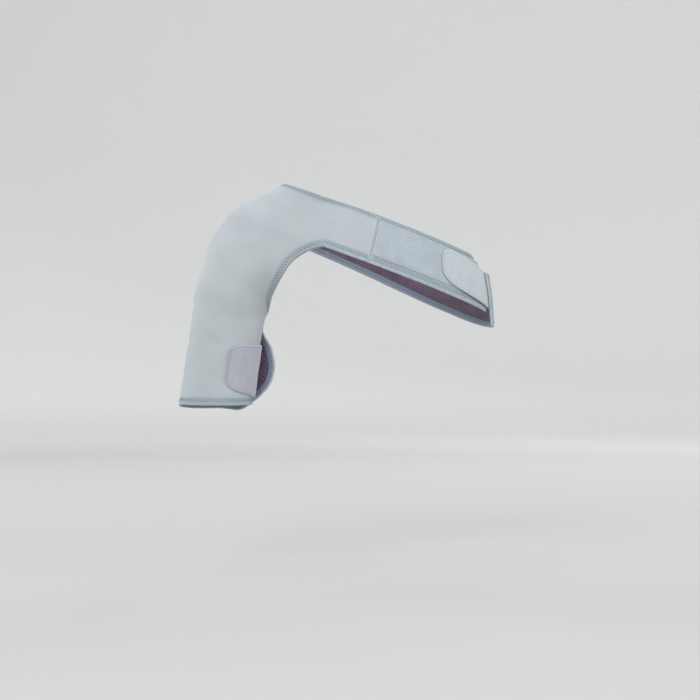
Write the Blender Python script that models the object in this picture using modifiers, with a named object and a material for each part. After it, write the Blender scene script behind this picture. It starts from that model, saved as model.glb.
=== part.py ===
"""Shoulder brace for the right shoulder, in the form it has when worn.

Metres, +Z up, +X towards the left of whoever wears it, -Y to the front. The origin is on
the inner face at the top of the shoulder, where the brace hangs. A shoulder sleeve carries
the load. Two straps close a loop round the chest, and a tab at the end of the back strap
grips a plush patch on the front strap. A second tab closes the lower sleeve.
"""
import math
from collections import namedtuple

import bmesh
import bpy
import numpy as np

# Walls of the cloth pieces and the clearance between them
NEOPRENE = 0.0030
PLUSH = 0.0009
TAB_SHEET = 0.0020
GAP = 0.00035

# Strap loop: a tilted plane cuts the neck edge, and the strap lies below it
LOOP_CENTRE = (0.150, -0.007, -0.024)
LOOP_TILT = (0.355, -0.100, 1.000)
STRAP_WIDTH = 0.060
SEAM_ANGLE = 102.5
CORNER_ANGLE = 138.0

# Front strap and the plush patch on it, lengths along the strap from the front seam
FRONT_STRAP_LENGTH = 0.176
FRONT_STRAP_TAPER_LENGTH = 0.032
FRONT_STRAP_TAPER = 0.012
PATCH_START = 0.0025
PATCH_LENGTH = 0.160
PATCH_TOP_MARGIN = 0.007
PATCH_BOTTOM_MARGIN = 0.010

# Hook tab of the strap
STRAP_TAB_START = 0.088
STRAP_TAB_LENGTH = 0.100
STRAP_TAB_WIDTH = 0.041
STRAP_TAB_MIDDLE = 0.028
STRAP_TAB_SLANT = 0.10
STRAP_TAB_ROUND = 0.024

# Back strap, whose front end laps over the hook tab
LAP_LENGTH = 0.014
LAP_EASE_LENGTH = 0.050
BACK_STRAP_DROOP = 0.017

# Sleeve
ARMHOLE_DEPTH = 0.073
SLEEVE_LENGTH = 0.253
REAR_HEM_DROP = 0.006
ARMPIT_RING_DROP = 0.016
SLIT_HEIGHT = 0.106
SLIT_ANGLE = 3.0
SLIT_OPENING = 8.0
FLAP_BEND_RADIUS = 0.045

# Hook tab of the sleeve
ARM_TAB_HEIGHT = 0.058
ARM_TAB_ABOVE_HEM = 0.015
ARM_TAB_END_ANGLE = 97.0
ARM_TAB_SLANT = 0.010
ARM_TAB_ROUND = 0.014

# Facets
BAND_ROWS = 7
BAND_FACET = 0.0085
DOME_FACETS = 38
CAP_ROWS = 11
TUBE_ROWS = 12
SMOOTHING_PASSES = 6
WELD = 0.00002

# The worn form that the brace is moulded on: a rounded chest and tapered limbs
Limb = namedtuple("Limb", "start end start_radius end_radius")
CHEST_CENTRE = (0.1535, -0.014, -0.195)
CHEST_HALF = (0.141, 0.096, 0.200)
CHEST_SQUARENESS = 3.5
CHEST_LEAN = 0.10
COLLAR = Limb((0.000, 0.000, -0.057), (0.210, -0.007, -0.055), 0.036, 0.044)
NECK_SLOPE = Limb((-0.007, 0.002, -0.040), (0.125, 0.010, 0.020), 0.032, 0.038)
SHOULDER = Limb((-0.022, 0.000, -0.075), (-0.036, 0.000, -0.116), 0.041, 0.039)
UPPER_ARM = Limb((-0.036, 0.000, -0.116), (-0.059, 0.000, -0.267), 0.039, 0.042)
FRONT_FOLD = Limb((-0.018, -0.012, -0.090), (0.085, -0.038, -0.082), 0.028, 0.028)
BACK_FOLD = Limb((-0.018, 0.012, -0.086), (0.085, 0.038, -0.072), 0.028, 0.028)
COLLAR_BLEND = 0.045
SLOPE_BLEND = 0.025
FOLD_BLEND = 0.018
ELBOW_BLEND = 0.012
ARMPIT_BLEND = 0.018

# Armhole edge from the strap's corner down to the armpit: each place as shares of the way
# from the armpit to that corner, across, forwards or backwards, and up
EdgePoint = namedtuple("EdgePoint", "across along up")
ARMHOLE_EDGE = (
    EdgePoint(0.750, 0.940, 0.960),
    EdgePoint(0.600, 0.880, 0.910),
    EdgePoint(0.450, 0.820, 0.840),
    EdgePoint(0.270, 0.710, 0.700),
    EdgePoint(0.130, 0.600, 0.550),
    EdgePoint(0.040, 0.500, 0.400),
    EdgePoint(0.000, 0.420, 0.260),
    EdgePoint(0.000, 0.330, 0.140),
    EdgePoint(0.000, 0.220, 0.055),
    EdgePoint(0.000, 0.110, 0.014),
    EdgePoint(0.000, 0.000, 0.000),
)

# Rear flap beside the slit: how far round the arm it stands off, from the slit's top down
FlapRow = namedtuple("FlapRow", "height_share opening")
FLAP = (
    FlapRow(0.00, 0.0),
    FlapRow(0.12, 22.0),
    FlapRow(0.27, 43.0),
    FlapRow(0.40, 50.0),
    FlapRow(0.55, 52.5),
    FlapRow(0.70, 50.5),
    FlapRow(0.84, 46.0),
    FlapRow(0.94, 40.0),
    FlapRow(1.00, 34.0),
)

COLLECTION = "shoulder_brace"
NEOPRENE_COLOUR = (0.45, 0.52, 0.56)
PLUSH_COLOUR = (0.43, 0.49, 0.55)
TAB_COLOUR = (0.48, 0.54, 0.60)


def unit(vectors):
    """Vectors scaled to length one."""
    vectors = np.asarray(vectors, float)
    return vectors / np.linalg.norm(vectors, axis=-1, keepdims=True)


def ease(share):
    """Smooth rise from 0 to 1 over shares 0 to 1."""
    share = np.clip(share, 0.0, 1.0)
    return share * share * (3.0 - 2.0 * share)


def limb_distance(points, limb):
    """Distance from a tapered, round-ended limb."""
    start = np.array(limb.start)
    run = np.array(limb.end) - start
    share = np.clip((points - start) @ run / (run @ run), 0.0, 1.0)
    nearest = start + share[..., None] * run
    radius = limb.start_radius + (limb.end_radius - limb.start_radius) * share
    return np.linalg.norm(points - nearest, axis=-1) - radius


def chest_distance(points):
    """Distance, near enough, from a rounded barrel that leans backwards."""
    offset = points - np.array(CHEST_CENTRE)
    x, z = offset[..., 0], offset[..., 2]
    y = offset[..., 1] - CHEST_LEAN * z
    wide, deep, tall = CHEST_HALF
    n = CHEST_SQUARENESS
    across = (x / wide) ** 2 + (y / deep) ** 2 + 1e-9
    along = np.abs(z) / tall + 1e-9
    level = (across ** (n / 2) + along ** n) ** (1 / n)
    side = level ** (1 - n) * across ** (n / 2 - 1)
    slope_x = side * x / wide ** 2
    slope_y = side * y / deep ** 2
    slope_z = level ** (1 - n) * along ** (n - 1) / tall
    slope = np.sqrt(slope_x ** 2 + slope_y ** 2 + slope_z ** 2)
    return (level - 1) / np.maximum(slope, 0.1)


def blend(first, second, radius):
    """Union of two distances with a rounded valley."""
    share = np.clip(0.5 + 0.5 * (second - first) / radius, 0.0, 1.0)
    return second + (first - second) * share - radius * share * (1.0 - share)


def form_distance(points):
    """Distance from the worn form, negative inside."""
    trunk = blend(chest_distance(points), limb_distance(points, COLLAR), COLLAR_BLEND)
    trunk = blend(trunk, limb_distance(points, NECK_SLOPE), SLOPE_BLEND)
    arm = blend(limb_distance(points, SHOULDER), limb_distance(points, UPPER_ARM), ELBOW_BLEND)
    for fold in (FRONT_FOLD, BACK_FOLD):
        arm = blend(arm, limb_distance(points, fold), FOLD_BLEND)
    return blend(trunk, arm, ARMPIT_BLEND)


def form_normal(points):
    """Outward direction of the worn form."""
    step = 0.0005
    slopes = []
    for axis in np.eye(3):
        slopes.append(form_distance(points + axis * step) - form_distance(points - axis * step))
    return unit(np.stack(slopes, -1))


def reach(origin, direction, far=0.30, pace=0.004):
    """First points where rays from inside the worn form leave it."""
    origin, direction = np.broadcast_arrays(np.asarray(origin, float), np.asarray(direction, float))
    near = np.zeros(origin.shape[:-1])
    done = np.zeros(near.shape, bool)
    for distance in np.arange(pace, far, pace):
        outside = form_distance(origin + direction * distance) > 0
        done |= outside
        near = np.where(done, near, distance)
        if done.all():
            break
    beyond = near + pace
    for _ in range(18):
        middle = (near + beyond) / 2
        outside = form_distance(origin + direction * middle[..., None]) > 0
        beyond = np.where(outside, middle, beyond)
        near = np.where(outside, near, middle)
    return origin + direction * near[..., None]


def settle(points, rounds=4):
    """Points moved to the nearest place on the worn form."""
    for _ in range(rounds):
        points = points - form_normal(points) * form_distance(points)[..., None]
    return points


LOOP_UP = unit(LOOP_TILT)
LOOP_LEFT = unit(np.cross((0.0, 1.0, 0.0), LOOP_UP))
LOOP_BACK = np.cross(LOOP_UP, LOOP_LEFT)
SEAT = reach((0.0, 0.0, -0.050), (0.0, 0.0, 1.0))


def band_point(angle, drop):
    """Place on the worn form at an angle round the loop and a drop below the neck edge.

    Angle 0 is the left side, 90 the back, 180 the braced shoulder and 270 the front.
    """
    angle, drop = np.broadcast_arrays(np.radians(angle), drop)
    outward = np.cos(angle)[..., None] * LOOP_LEFT + np.sin(angle)[..., None] * LOOP_BACK
    return reach(np.array(LOOP_CENTRE) - drop[..., None] * LOOP_UP, outward)


def loop_arc(drop):
    """Angles all the way round from the front seam, with the length up to each."""
    angles = np.linspace(-SEAM_ANGLE, 360.0 - SEAM_ANGLE, 721)
    curve = band_point(angles, drop)
    steps = np.linalg.norm(np.diff(curve, axis=0), axis=1)
    return angles, np.concatenate([[0.0], np.cumsum(steps)])


FRONT_ANGLES, FRONT_LENGTHS = loop_arc(STRAP_WIDTH / 2)


def angle_at(length):
    """Angle round the loop at a length along the strap from the front seam."""
    return np.interp(length, FRONT_LENGTHS, FRONT_ANGLES)


def length_at(angle):
    """Length along the strap from the front seam to an angle."""
    return np.interp(angle, FRONT_ANGLES, FRONT_LENGTHS)


def lengths_between(start, end, facet=BAND_FACET):
    """Evenly spaced lengths along the strap."""
    return np.linspace(start, end, max(2, round((end - start) / facet) + 1))


def lifted(points, lift):
    """Points of the worn form moved outwards to a layer's inner face."""
    lift = np.broadcast_to(lift, points.shape[:-1])
    return points + form_normal(points) * lift[..., None]


def band_grid(lengths, top, bottom, rows=BAND_ROWS):
    """Grid on the loop, from its lower edge up, at lengths along the strap."""
    lengths = np.asarray(lengths)
    share = np.linspace(0.0, 1.0, rows + 1)[:, None]
    drop = bottom + (top - bottom) * share
    return band_point(angle_at(lengths), drop)


def even_angles(start, end, count):
    """Angles between two ends that space the band's upper and lower edges evenly."""
    fine = np.linspace(start, end, 241)
    travel = np.zeros(len(fine))
    for drop in (0.0, STRAP_WIDTH):
        curve = band_point(fine, drop)
        travel[1:] += np.cumsum(np.linalg.norm(np.diff(curve, axis=0), axis=1))
    return np.interp(np.linspace(0.0, travel[-1], count + 1), travel, fine)


def bone_at(height):
    """Middle of the arm at a height."""
    heights = [UPPER_ARM.end[2], UPPER_ARM.start[2], SHOULDER.start[2], 0.0]
    slope = (SHOULDER.start[0] - UPPER_ARM.end[0]) / (SHOULDER.start[2] - UPPER_ARM.end[2])
    top = SHOULDER.start[0] - slope * SHOULDER.start[2]
    places = [UPPER_ARM.end[0], UPPER_ARM.start[0], SHOULDER.start[0], top]
    height = np.asarray(height, float)
    x = np.interp(height, heights, places)
    return np.stack([x, np.zeros_like(x), height], -1)


def arm_outward(angle):
    """Level direction at an angle round the arm, from its inner side towards the front."""
    angle = np.radians(angle)
    return np.stack([np.cos(angle), -np.sin(angle), np.zeros_like(angle)], -1)


def arm_point(angle, height):
    """Place on the worn form at an angle round the arm and a height."""
    angle, height = np.broadcast_arrays(np.asarray(angle, float), np.asarray(height, float))
    return reach(bone_at(height), arm_outward(angle), pace=0.002)


def angle_round_arm(points):
    """Angle round the arm of each point, 0 to 360 degrees."""
    offset = points - bone_at(points[..., 2])
    return np.degrees(np.arctan2(-offset[..., 1], offset[..., 0])) % 360.0


def hem_height(angle):
    """Height of the sleeve's lower edge, which is lower behind the inner side."""
    behind = np.clip(-np.sin(np.radians(angle)), 0.0, 1.0)
    return -SLEEVE_LENGTH - REAR_HEM_DROP * behind


def flap_opening(height):
    """Degrees round the arm over which the flap stands off, at a height."""
    slit_top = -SLEEVE_LENGTH + SLIT_HEIGHT
    share = (slit_top - np.asarray(height)) / (SLIT_HEIGHT + REAR_HEM_DROP)
    return np.interp(share, [row.height_share for row in FLAP], [row.opening for row in FLAP])


def flap_stand_off(angle, height):
    """Distance of the flap from the arm where it runs on straight beside the slit."""
    leaves = 360.0 + SLIT_ANGLE - flap_opening(height)
    bend = np.radians(np.maximum(angle - leaves, 0.0))
    return FLAP_BEND_RADIUS * (1.0 / np.cos(bend) - 1.0)


def armhole_edge(corner):
    """Armhole edge from one of the strap's corners to the armpit."""
    armpit = arm_point(0.0, ARMHOLE_FLOOR)
    below = settle(armpit + (corner - armpit) * np.array(ARMHOLE_EDGE))
    return np.concatenate([corner[None], below])


ARMHOLE_FLOOR = band_point(360.0 - CORNER_ANGLE, STRAP_WIDTH)[2] - ARMHOLE_DEPTH


def yoke_grid():
    """Band from the back seam over the shoulder to the front seam, and its dome columns."""
    back_seam = SEAM_ANGLE + math.degrees(GAP / 0.09)
    front_seam = 360.0 - back_seam
    front_corner = 360.0 - CORNER_ANGLE
    lead_facets = round((length_at(CORNER_ANGLE) - length_at(SEAM_ANGLE)) / BAND_FACET)
    back_lead = even_angles(back_seam, CORNER_ANGLE, lead_facets)
    dome = even_angles(CORNER_ANGLE, front_corner, DOME_FACETS)
    front_lead = even_angles(front_corner, front_seam, lead_facets)
    angles = np.concatenate([back_lead, dome[1:], front_lead[1:]])
    drop = np.linspace(STRAP_WIDTH, 0.0, BAND_ROWS + 1)[:, None]
    grid = band_point(angles[None, :], drop)
    return grid, slice(lead_facets, lead_facets + DOME_FACETS + 1)


def round_arm(points, lowest_angle):
    """Points as angle round the arm, from lowest_angle up, height and distance from its middle."""
    angle = (angle_round_arm(points) - lowest_angle) % 360.0 + lowest_angle
    radius = np.linalg.norm(points - bone_at(points[..., 2]), axis=-1)
    return np.stack([angle, points[..., 2], radius], -1)


def from_arm(places):
    """Points on the worn form nearest to angles, heights and distances round the arm."""
    outward = arm_outward(places[..., 0]) * places[..., 2:]
    return settle(bone_at(places[..., 1]) + outward)


def smoothed(grid):
    """Grid with its inner points spread evenly over the worn form."""
    for _ in range(SMOOTHING_PASSES):
        around = grid[1:-1, :-2] + grid[1:-1, 2:] + grid[:-2, 1:-1] + grid[2:, 1:-1]
        grid[1:-1, 1:-1] = settle(around / 4, rounds=2)
    return grid


def evenly_along(curve, count):
    """Points at even spacing along a curve."""
    steps = np.linalg.norm(np.diff(curve, axis=0), axis=1)
    travel = np.concatenate([[0.0], np.cumsum(steps)])
    wanted = np.linspace(0.0, travel[-1], count + 1)
    return settle(np.stack([np.interp(wanted, travel, axis) for axis in curve.T], -1))


def armpit_ring():
    """Ring round the arm through the armpit, lower at the outer side."""
    angles = np.linspace(0.0, 360.0, DOME_FACETS + 1)
    drop = ARMPIT_RING_DROP * np.sqrt(np.abs(np.sin(np.radians(angles / 2))))
    return arm_point(angles, ARMHOLE_FLOOR - drop)


def cap_grid(dome_edge, ring):
    """Shoulder cap between the yoke's lower edge, both armhole edges and the armpit ring.

    dome_edge is the yoke's lower edge between its corners, from front to back.
    """
    front = evenly_along(armhole_edge(dome_edge[0]), CAP_ROWS)
    back = evenly_along(armhole_edge(dome_edge[-1]), CAP_ROWS)
    top = round_arm(dome_edge, 0.0)[None]
    bottom = round_arm(ring, 0.0)[None]
    bottom[0, :, 0] = np.linspace(0.0, 360.0, DOME_FACETS + 1)
    left = round_arm(front, -180.0)[:, None]
    right = round_arm(back, 180.0)[:, None]
    down = np.linspace(0.0, 1.0, CAP_ROWS + 1)[:, None, None]
    across = np.linspace(0.0, 1.0, DOME_FACETS + 1)[None, :, None]
    places = (1 - down) * top + down * bottom + (1 - across) * left + across * right
    places -= (1 - down) * ((1 - across) * top[:, :1] + across * top[:, -1:])
    places -= down * ((1 - across) * bottom[:, :1] + across * bottom[:, -1:])
    grid = from_arm(places)
    grid[0], grid[-1], grid[:, 0], grid[:, -1] = dome_edge, ring, front, back
    return smoothed(grid)


def tube_grid(ring):
    """Tube from the armpit ring down to the hem, open at the slit."""
    top_angles = np.linspace(0.0, 360.0, DOME_FACETS + 1)
    hem_angles = SLIT_ANGLE + top_angles
    down = np.linspace(0.0, 1.0, TUBE_ROWS + 1)[:, None]
    angles = top_angles + (hem_angles - top_angles) * down
    hem = hem_height(hem_angles)
    heights = ring[:, 2] + (hem - ring[:, 2]) * down
    beside_slit = np.clip(1.0 - np.arange(DOME_FACETS + 1) / 4, 0.0, 1.0)
    below_slit_top = (SLIT_HEIGHT - SLEEVE_LENGTH - heights) / SLIT_HEIGHT
    angles = angles + SLIT_OPENING * beside_slit * ease(3.0 * below_slit_top)
    grid = arm_point(angles, heights)
    grid[0] = ring
    return stand_flap_off(grid)


def stand_flap_off(grid):
    """Rear columns of the sleeve moved outwards below the slit's top."""
    angles = angle_round_arm(grid)
    columns = np.arange(grid.shape[1])
    rear_half = columns[None, :] > grid.shape[1] // 2
    angles = np.where(rear_half & (angles < 90.0), angles + 360.0, angles)
    angles[:, -1] = np.maximum(angles[:, -1], 270.0)
    lift = np.where(rear_half, flap_stand_off(angles, grid[..., 2]), 0.0)
    return grid + arm_outward(angles) * lift[..., None]


def arm_tab_grid(layer):
    """Hook tab from its rounded front end round the inner side to the flap's inner face."""
    top = -SLEEVE_LENGTH + ARM_TAB_ABOVE_HEM + ARM_TAB_HEIGHT
    rows = np.linspace(1.0, 0.0, 9)[:, None]
    reach_back = layer + TAB_SHEET + GAP
    touch = math.degrees(math.acos(FLAP_BEND_RADIUS / (FLAP_BEND_RADIUS + reach_back)))
    columns = np.linspace(0.0, 1.0, 17)
    arc = columns * math.radians(ARM_TAB_END_ANGLE) * UPPER_ARM.end_radius
    inset = ARM_TAB_ROUND * (1.0 - np.sqrt(1.0 - (1.0 - np.minimum(arc / ARM_TAB_ROUND, 1.0)) ** 2))
    upper = top - inset * 0.55
    lower = top - ARM_TAB_HEIGHT + inset - ARM_TAB_SLANT * (columns - 0.5)
    heights = upper + (lower - upper) * rows
    end = SLIT_ANGLE - flap_opening(heights) + touch
    angles = ARM_TAB_END_ANGLE + (end - ARM_TAB_END_ANGLE) * columns
    return lifted(arm_point(angles, heights), layer)


def strap_tab_grid(layer):
    """Hook tab with a round end on the front strap, slanting down towards the side."""
    share = np.linspace(0.0, 1.0, 19) ** 1.15
    along = share * STRAP_TAB_LENGTH
    half = STRAP_TAB_WIDTH / 2
    corner = 1.0 - np.minimum(along / STRAP_TAB_ROUND, 1.0)
    half = half * (0.34 + 0.66 * np.sqrt(1.0 - corner ** 2))
    middle = STRAP_TAB_MIDDLE + STRAP_TAB_SLANT * (along - STRAP_TAB_ROUND / 2)
    grid = band_grid(STRAP_TAB_START + along, middle - half, middle + half)
    return lifted(grid, layer)


def front_strap_grid():
    """Front strap from the seam to its tapered end under the hook tab."""
    lengths = lengths_between(GAP / 2, FRONT_STRAP_LENGTH)
    taper_start = FRONT_STRAP_LENGTH - FRONT_STRAP_TAPER_LENGTH
    top = FRONT_STRAP_TAPER * ease((lengths - taper_start) / FRONT_STRAP_TAPER_LENGTH)
    return band_grid(lengths, top, STRAP_WIDTH)


def loop_patch_grid():
    """Plush patch inset on the front strap."""
    lengths = lengths_between(PATCH_START, PATCH_START + PATCH_LENGTH)
    grid = band_grid(lengths, PATCH_TOP_MARGIN, STRAP_WIDTH - PATCH_BOTTOM_MARGIN)
    return lifted(grid, NEOPRENE + GAP)


def back_strap_grid(lap_layer):
    """Back strap from its lapped front end round the left side to the back seam."""
    start = STRAP_TAB_START + STRAP_TAB_LENGTH - LAP_LENGTH
    end = length_at(SEAM_ANGLE) - GAP / 2
    lengths = lengths_between(start, end)
    past_lap = (lengths - start - LAP_LENGTH - 0.002) / LAP_EASE_LENGTH
    lift = lap_layer * (1.0 - ease(past_lap))
    droop = BACK_STRAP_DROOP * (1.0 - ease((lengths - start) / (end - start)))
    return lifted(band_grid(lengths, droop, STRAP_WIDTH + droop), lift)


def cloth_material(name, colour):
    """Plain matt cloth."""
    material = bpy.data.materials.new(name)
    material.use_nodes = True
    shader = material.node_tree.nodes["Principled BSDF"]
    shader.inputs["Base Color"].default_value = (*colour, 1.0)
    shader.inputs["Roughness"].default_value = 0.9
    shader.inputs["Metallic"].default_value = 0.0
    return material


def add_grid(mesh, points):
    """A grid whose vertices are moved to an array of rows and columns of points."""
    rows, columns = points.shape[0] - 1, points.shape[1] - 1
    grid = bmesh.ops.create_grid(mesh, x_segments=columns, y_segments=rows, size=0.5)
    for vertex in grid["verts"]:
        column = round((vertex.co.x + 0.5) * columns)
        row = round((vertex.co.y + 0.5) * rows)
        vertex.co = points[row, column]


def cloth_piece(name, grids, thickness, colour, parent):
    """One sheet of cloth from its inner face, thickened outwards."""
    centre = np.concatenate([grid.reshape(-1, 3) for grid in grids]).mean(axis=0)
    bm = bmesh.new()
    for grid in grids:
        add_grid(bm, grid - centre)
    bmesh.ops.remove_doubles(bm, verts=bm.verts, dist=WELD)
    mesh = bpy.data.meshes.new(name)
    bm.to_mesh(mesh)
    bm.free()
    mesh.materials.append(cloth_material(name + "_cloth", colour))
    piece = bpy.data.objects.new(name, mesh)
    piece.location = centre - SEAT
    piece.parent = parent
    wall = piece.modifiers.new("wall", "SOLIDIFY")
    wall.thickness = thickness
    wall.offset = 1.0
    bpy.data.collections[COLLECTION].objects.link(piece)
    return piece


def shoulder_sleeve(parent):
    """Shoulder cap with its leads to both straps, arm sleeve, slit and rear flap."""
    yoke, dome = yoke_grid()
    ring = armpit_ring()
    cap = cap_grid(yoke[0, dome][::-1], ring)
    grids = [yoke, cap, tube_grid(ring)]
    cloth_piece("shoulder_sleeve", grids, NEOPRENE, NEOPRENE_COLOUR, parent)


def straps(parent):
    """Front strap, its plush patch, the hook tab on it and the lapped back strap."""
    tab_layer = NEOPRENE + GAP + PLUSH + GAP
    lap_layer = tab_layer + TAB_SHEET + GAP
    cloth_piece("front_strap", [front_strap_grid()], NEOPRENE, NEOPRENE_COLOUR, parent)
    cloth_piece("loop_patch", [loop_patch_grid()], PLUSH, PLUSH_COLOUR, parent)
    cloth_piece("strap_tab", [strap_tab_grid(tab_layer)], TAB_SHEET, TAB_COLOUR, parent)
    cloth_piece("back_strap", [back_strap_grid(lap_layer)], NEOPRENE, NEOPRENE_COLOUR, parent)


def arm_tab(parent):
    """Hook tab that closes the lower sleeve on its front."""
    grid = arm_tab_grid(NEOPRENE + GAP)
    cloth_piece("arm_tab", [grid], TAB_SHEET, TAB_COLOUR, parent)


def main():
    """The whole brace, in one collection."""
    for item in list(bpy.data.objects):
        bpy.data.objects.remove(item, do_unlink=True)
    collection = bpy.data.collections.new(COLLECTION)
    bpy.context.scene.collection.children.link(collection)
    seat = bpy.data.objects.new("shoulder_seat", None)
    collection.objects.link(seat)
    shoulder_sleeve(seat)
    straps(seat)
    arm_tab(seat)


main()
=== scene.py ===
"""Dressed model of a shoulder brace: knit faced neoprene, plush patch, hook tabs and stitching.

Metres, +Z up, +X towards the wearer's left, -Y to the front. The brace keeps the form it has
when worn: every cloth lies on one worn form, a rounded chest with tapered limbs, and is made
finely from the same named sizes as the plain solids that it stands for.
"""
import logging
import math
from dataclasses import dataclass, field
from enum import Enum

import bpy
import numpy as np
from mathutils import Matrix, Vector
from mathutils.bvhtree import BVHTree
from mathutils.kdtree import KDTree


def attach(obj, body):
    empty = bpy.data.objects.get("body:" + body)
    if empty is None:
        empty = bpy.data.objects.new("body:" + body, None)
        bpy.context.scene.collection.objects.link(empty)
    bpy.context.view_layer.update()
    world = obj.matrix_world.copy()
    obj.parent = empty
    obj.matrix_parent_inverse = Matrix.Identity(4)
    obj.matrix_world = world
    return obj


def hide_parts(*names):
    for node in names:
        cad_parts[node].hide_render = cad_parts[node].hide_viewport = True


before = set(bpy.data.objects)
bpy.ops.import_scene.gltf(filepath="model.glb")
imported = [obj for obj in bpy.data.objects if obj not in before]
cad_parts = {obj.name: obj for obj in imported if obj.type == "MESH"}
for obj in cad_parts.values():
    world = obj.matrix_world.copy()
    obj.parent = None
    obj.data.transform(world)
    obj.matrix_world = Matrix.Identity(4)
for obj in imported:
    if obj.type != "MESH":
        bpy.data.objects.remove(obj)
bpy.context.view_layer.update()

LOG = logging.getLogger("shoulder_brace")
Array = np.ndarray
Place = tuple[float, float, float]
Colour = tuple[float, float, float]
Faces = list[list[int]]

# Walls of the cloth pieces and the clearance between them
NEOPRENE = 0.0030
PLUSH = 0.0009
TAB_SHEET = 0.0020
GAP = 0.00035
SEAM_GAP = 0.00006

# Insets of the zigzag's needle holes, and how far each hole is past the one before
NECK_ROWS = (0.0028, 0.0066)
HEM_ROWS = (0.0045, 0.0084)
ZIGZAG_PITCH = 0.00175

# Spacing of points on the cloth, and their distances from a hemmed edge
PITCH = 0.0024
EDGE_OFFSETS = (0.0, 0.0020, 0.0038, 0.0054, 0.0070, 0.0086, 0.0102)


def unit(vectors: Array) -> Array:
    """Vectors scaled to length one."""
    vectors = np.asarray(vectors, float)
    return vectors / np.maximum(np.linalg.norm(vectors, axis=-1, keepdims=True), 1e-12)


def ease(share: Array) -> Array:
    """Smooth rise from 0 to 1 over shares 0 to 1."""
    share = np.clip(share, 0.0, 1.0)
    return share * share * (3.0 - 2.0 * share)


def travelled(curve: Array) -> Array:
    """Length along a curve up to each of its points."""
    steps = np.linalg.norm(np.diff(curve, axis=0), axis=1)
    return np.concatenate([[0.0], np.cumsum(steps)])


def along(curve: Array, travel: Array, wanted: Array) -> Array:
    """Values of a curve's columns at wanted lengths along it."""
    return np.stack([np.interp(wanted, travel, column) for column in curve.T], -1)


def graded(length: float, hemmed_start: bool = True, hemmed_end: bool = True) -> Array:
    """Shares from 0 to 1 along a length, closer together beside its hemmed ends.

    Args:
        length: Real length in metres.
        hemmed_start: Whether share 0 is a cloth's free edge.
        hemmed_end: Whether share 1 is a cloth's free edge.

    Returns:
        Rising shares, 0 and 1 included.
    """
    start = EDGE_OFFSETS if hemmed_start else (0.0,)
    end = EDGE_OFFSETS if hemmed_end else (0.0,)
    inner = length - start[-1] - end[-1]
    count = max(2, round(inner / PITCH))
    middle = start[-1] + inner * np.arange(1, count) / count
    places = np.concatenate([start, middle, length - np.array(end[::-1])])
    return places / length


def refined(grid: Array, places: Array, axis: int) -> Array:
    """Grid read at fractional places along one axis, on smooth curves through its points.

    Args:
        grid: Rows by columns by three.
        places: Fractional indices along the axis.
        axis: 0 for rows, 1 for columns.

    Returns:
        The finer grid.
    """
    grid = np.moveaxis(grid, axis, 0)
    first, last = 2 * grid[:1] - grid[1:2], 2 * grid[-1:] - grid[-2:-1]
    padded = np.concatenate([first, grid, last])
    index = np.clip(np.floor(places).astype(int), 0, len(grid) - 2)
    t = (places - index)[:, None, None]
    p0, p1, p2, p3 = (padded[index + step] for step in range(4))
    curve = 2 * p1 + (p2 - p0) * t + (2 * p0 - 5 * p1 + 4 * p2 - p3) * t ** 2
    curve = (curve + (3 * p1 - p0 - 3 * p2 + p3) * t ** 3) / 2
    return np.moveaxis(curve, 0, axis)


def linked(name: str, data: bpy.types.ID) -> bpy.types.Object:
    """Object of a mesh, light or camera, linked into the scene.

    Args:
        name: Name of the object.
        data: What it shows.

    Returns:
        The linked object.
    """
    thing = bpy.data.objects.new(name, data)
    bpy.context.scene.collection.objects.link(thing)
    return thing


def shade_smooth(mesh: bpy.types.Mesh) -> None:
    """Smooth shading on every face."""
    mesh.polygons.foreach_set("use_smooth", np.ones(len(mesh.polygons), bool))
    mesh.update()


@dataclass(frozen=True)
class Limb:
    """A tapered, round-ended part of the worn form."""

    start: Place
    end: Place
    start_radius: float
    end_radius: float

    def distance(self, points: Array) -> Array:
        """Distance of points from the limb, negative inside.

        Args:
            points: Places in metres, any number of rows.

        Returns:
            Metres to the limb.
        """
        start = np.array(self.start)
        run = np.array(self.end) - start
        share = np.clip((points - start) @ run / (run @ run), 0.0, 1.0)
        radius = self.start_radius + (self.end_radius - self.start_radius) * share
        return np.linalg.norm(points - (start + share[..., None] * run), axis=-1) - radius


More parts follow.
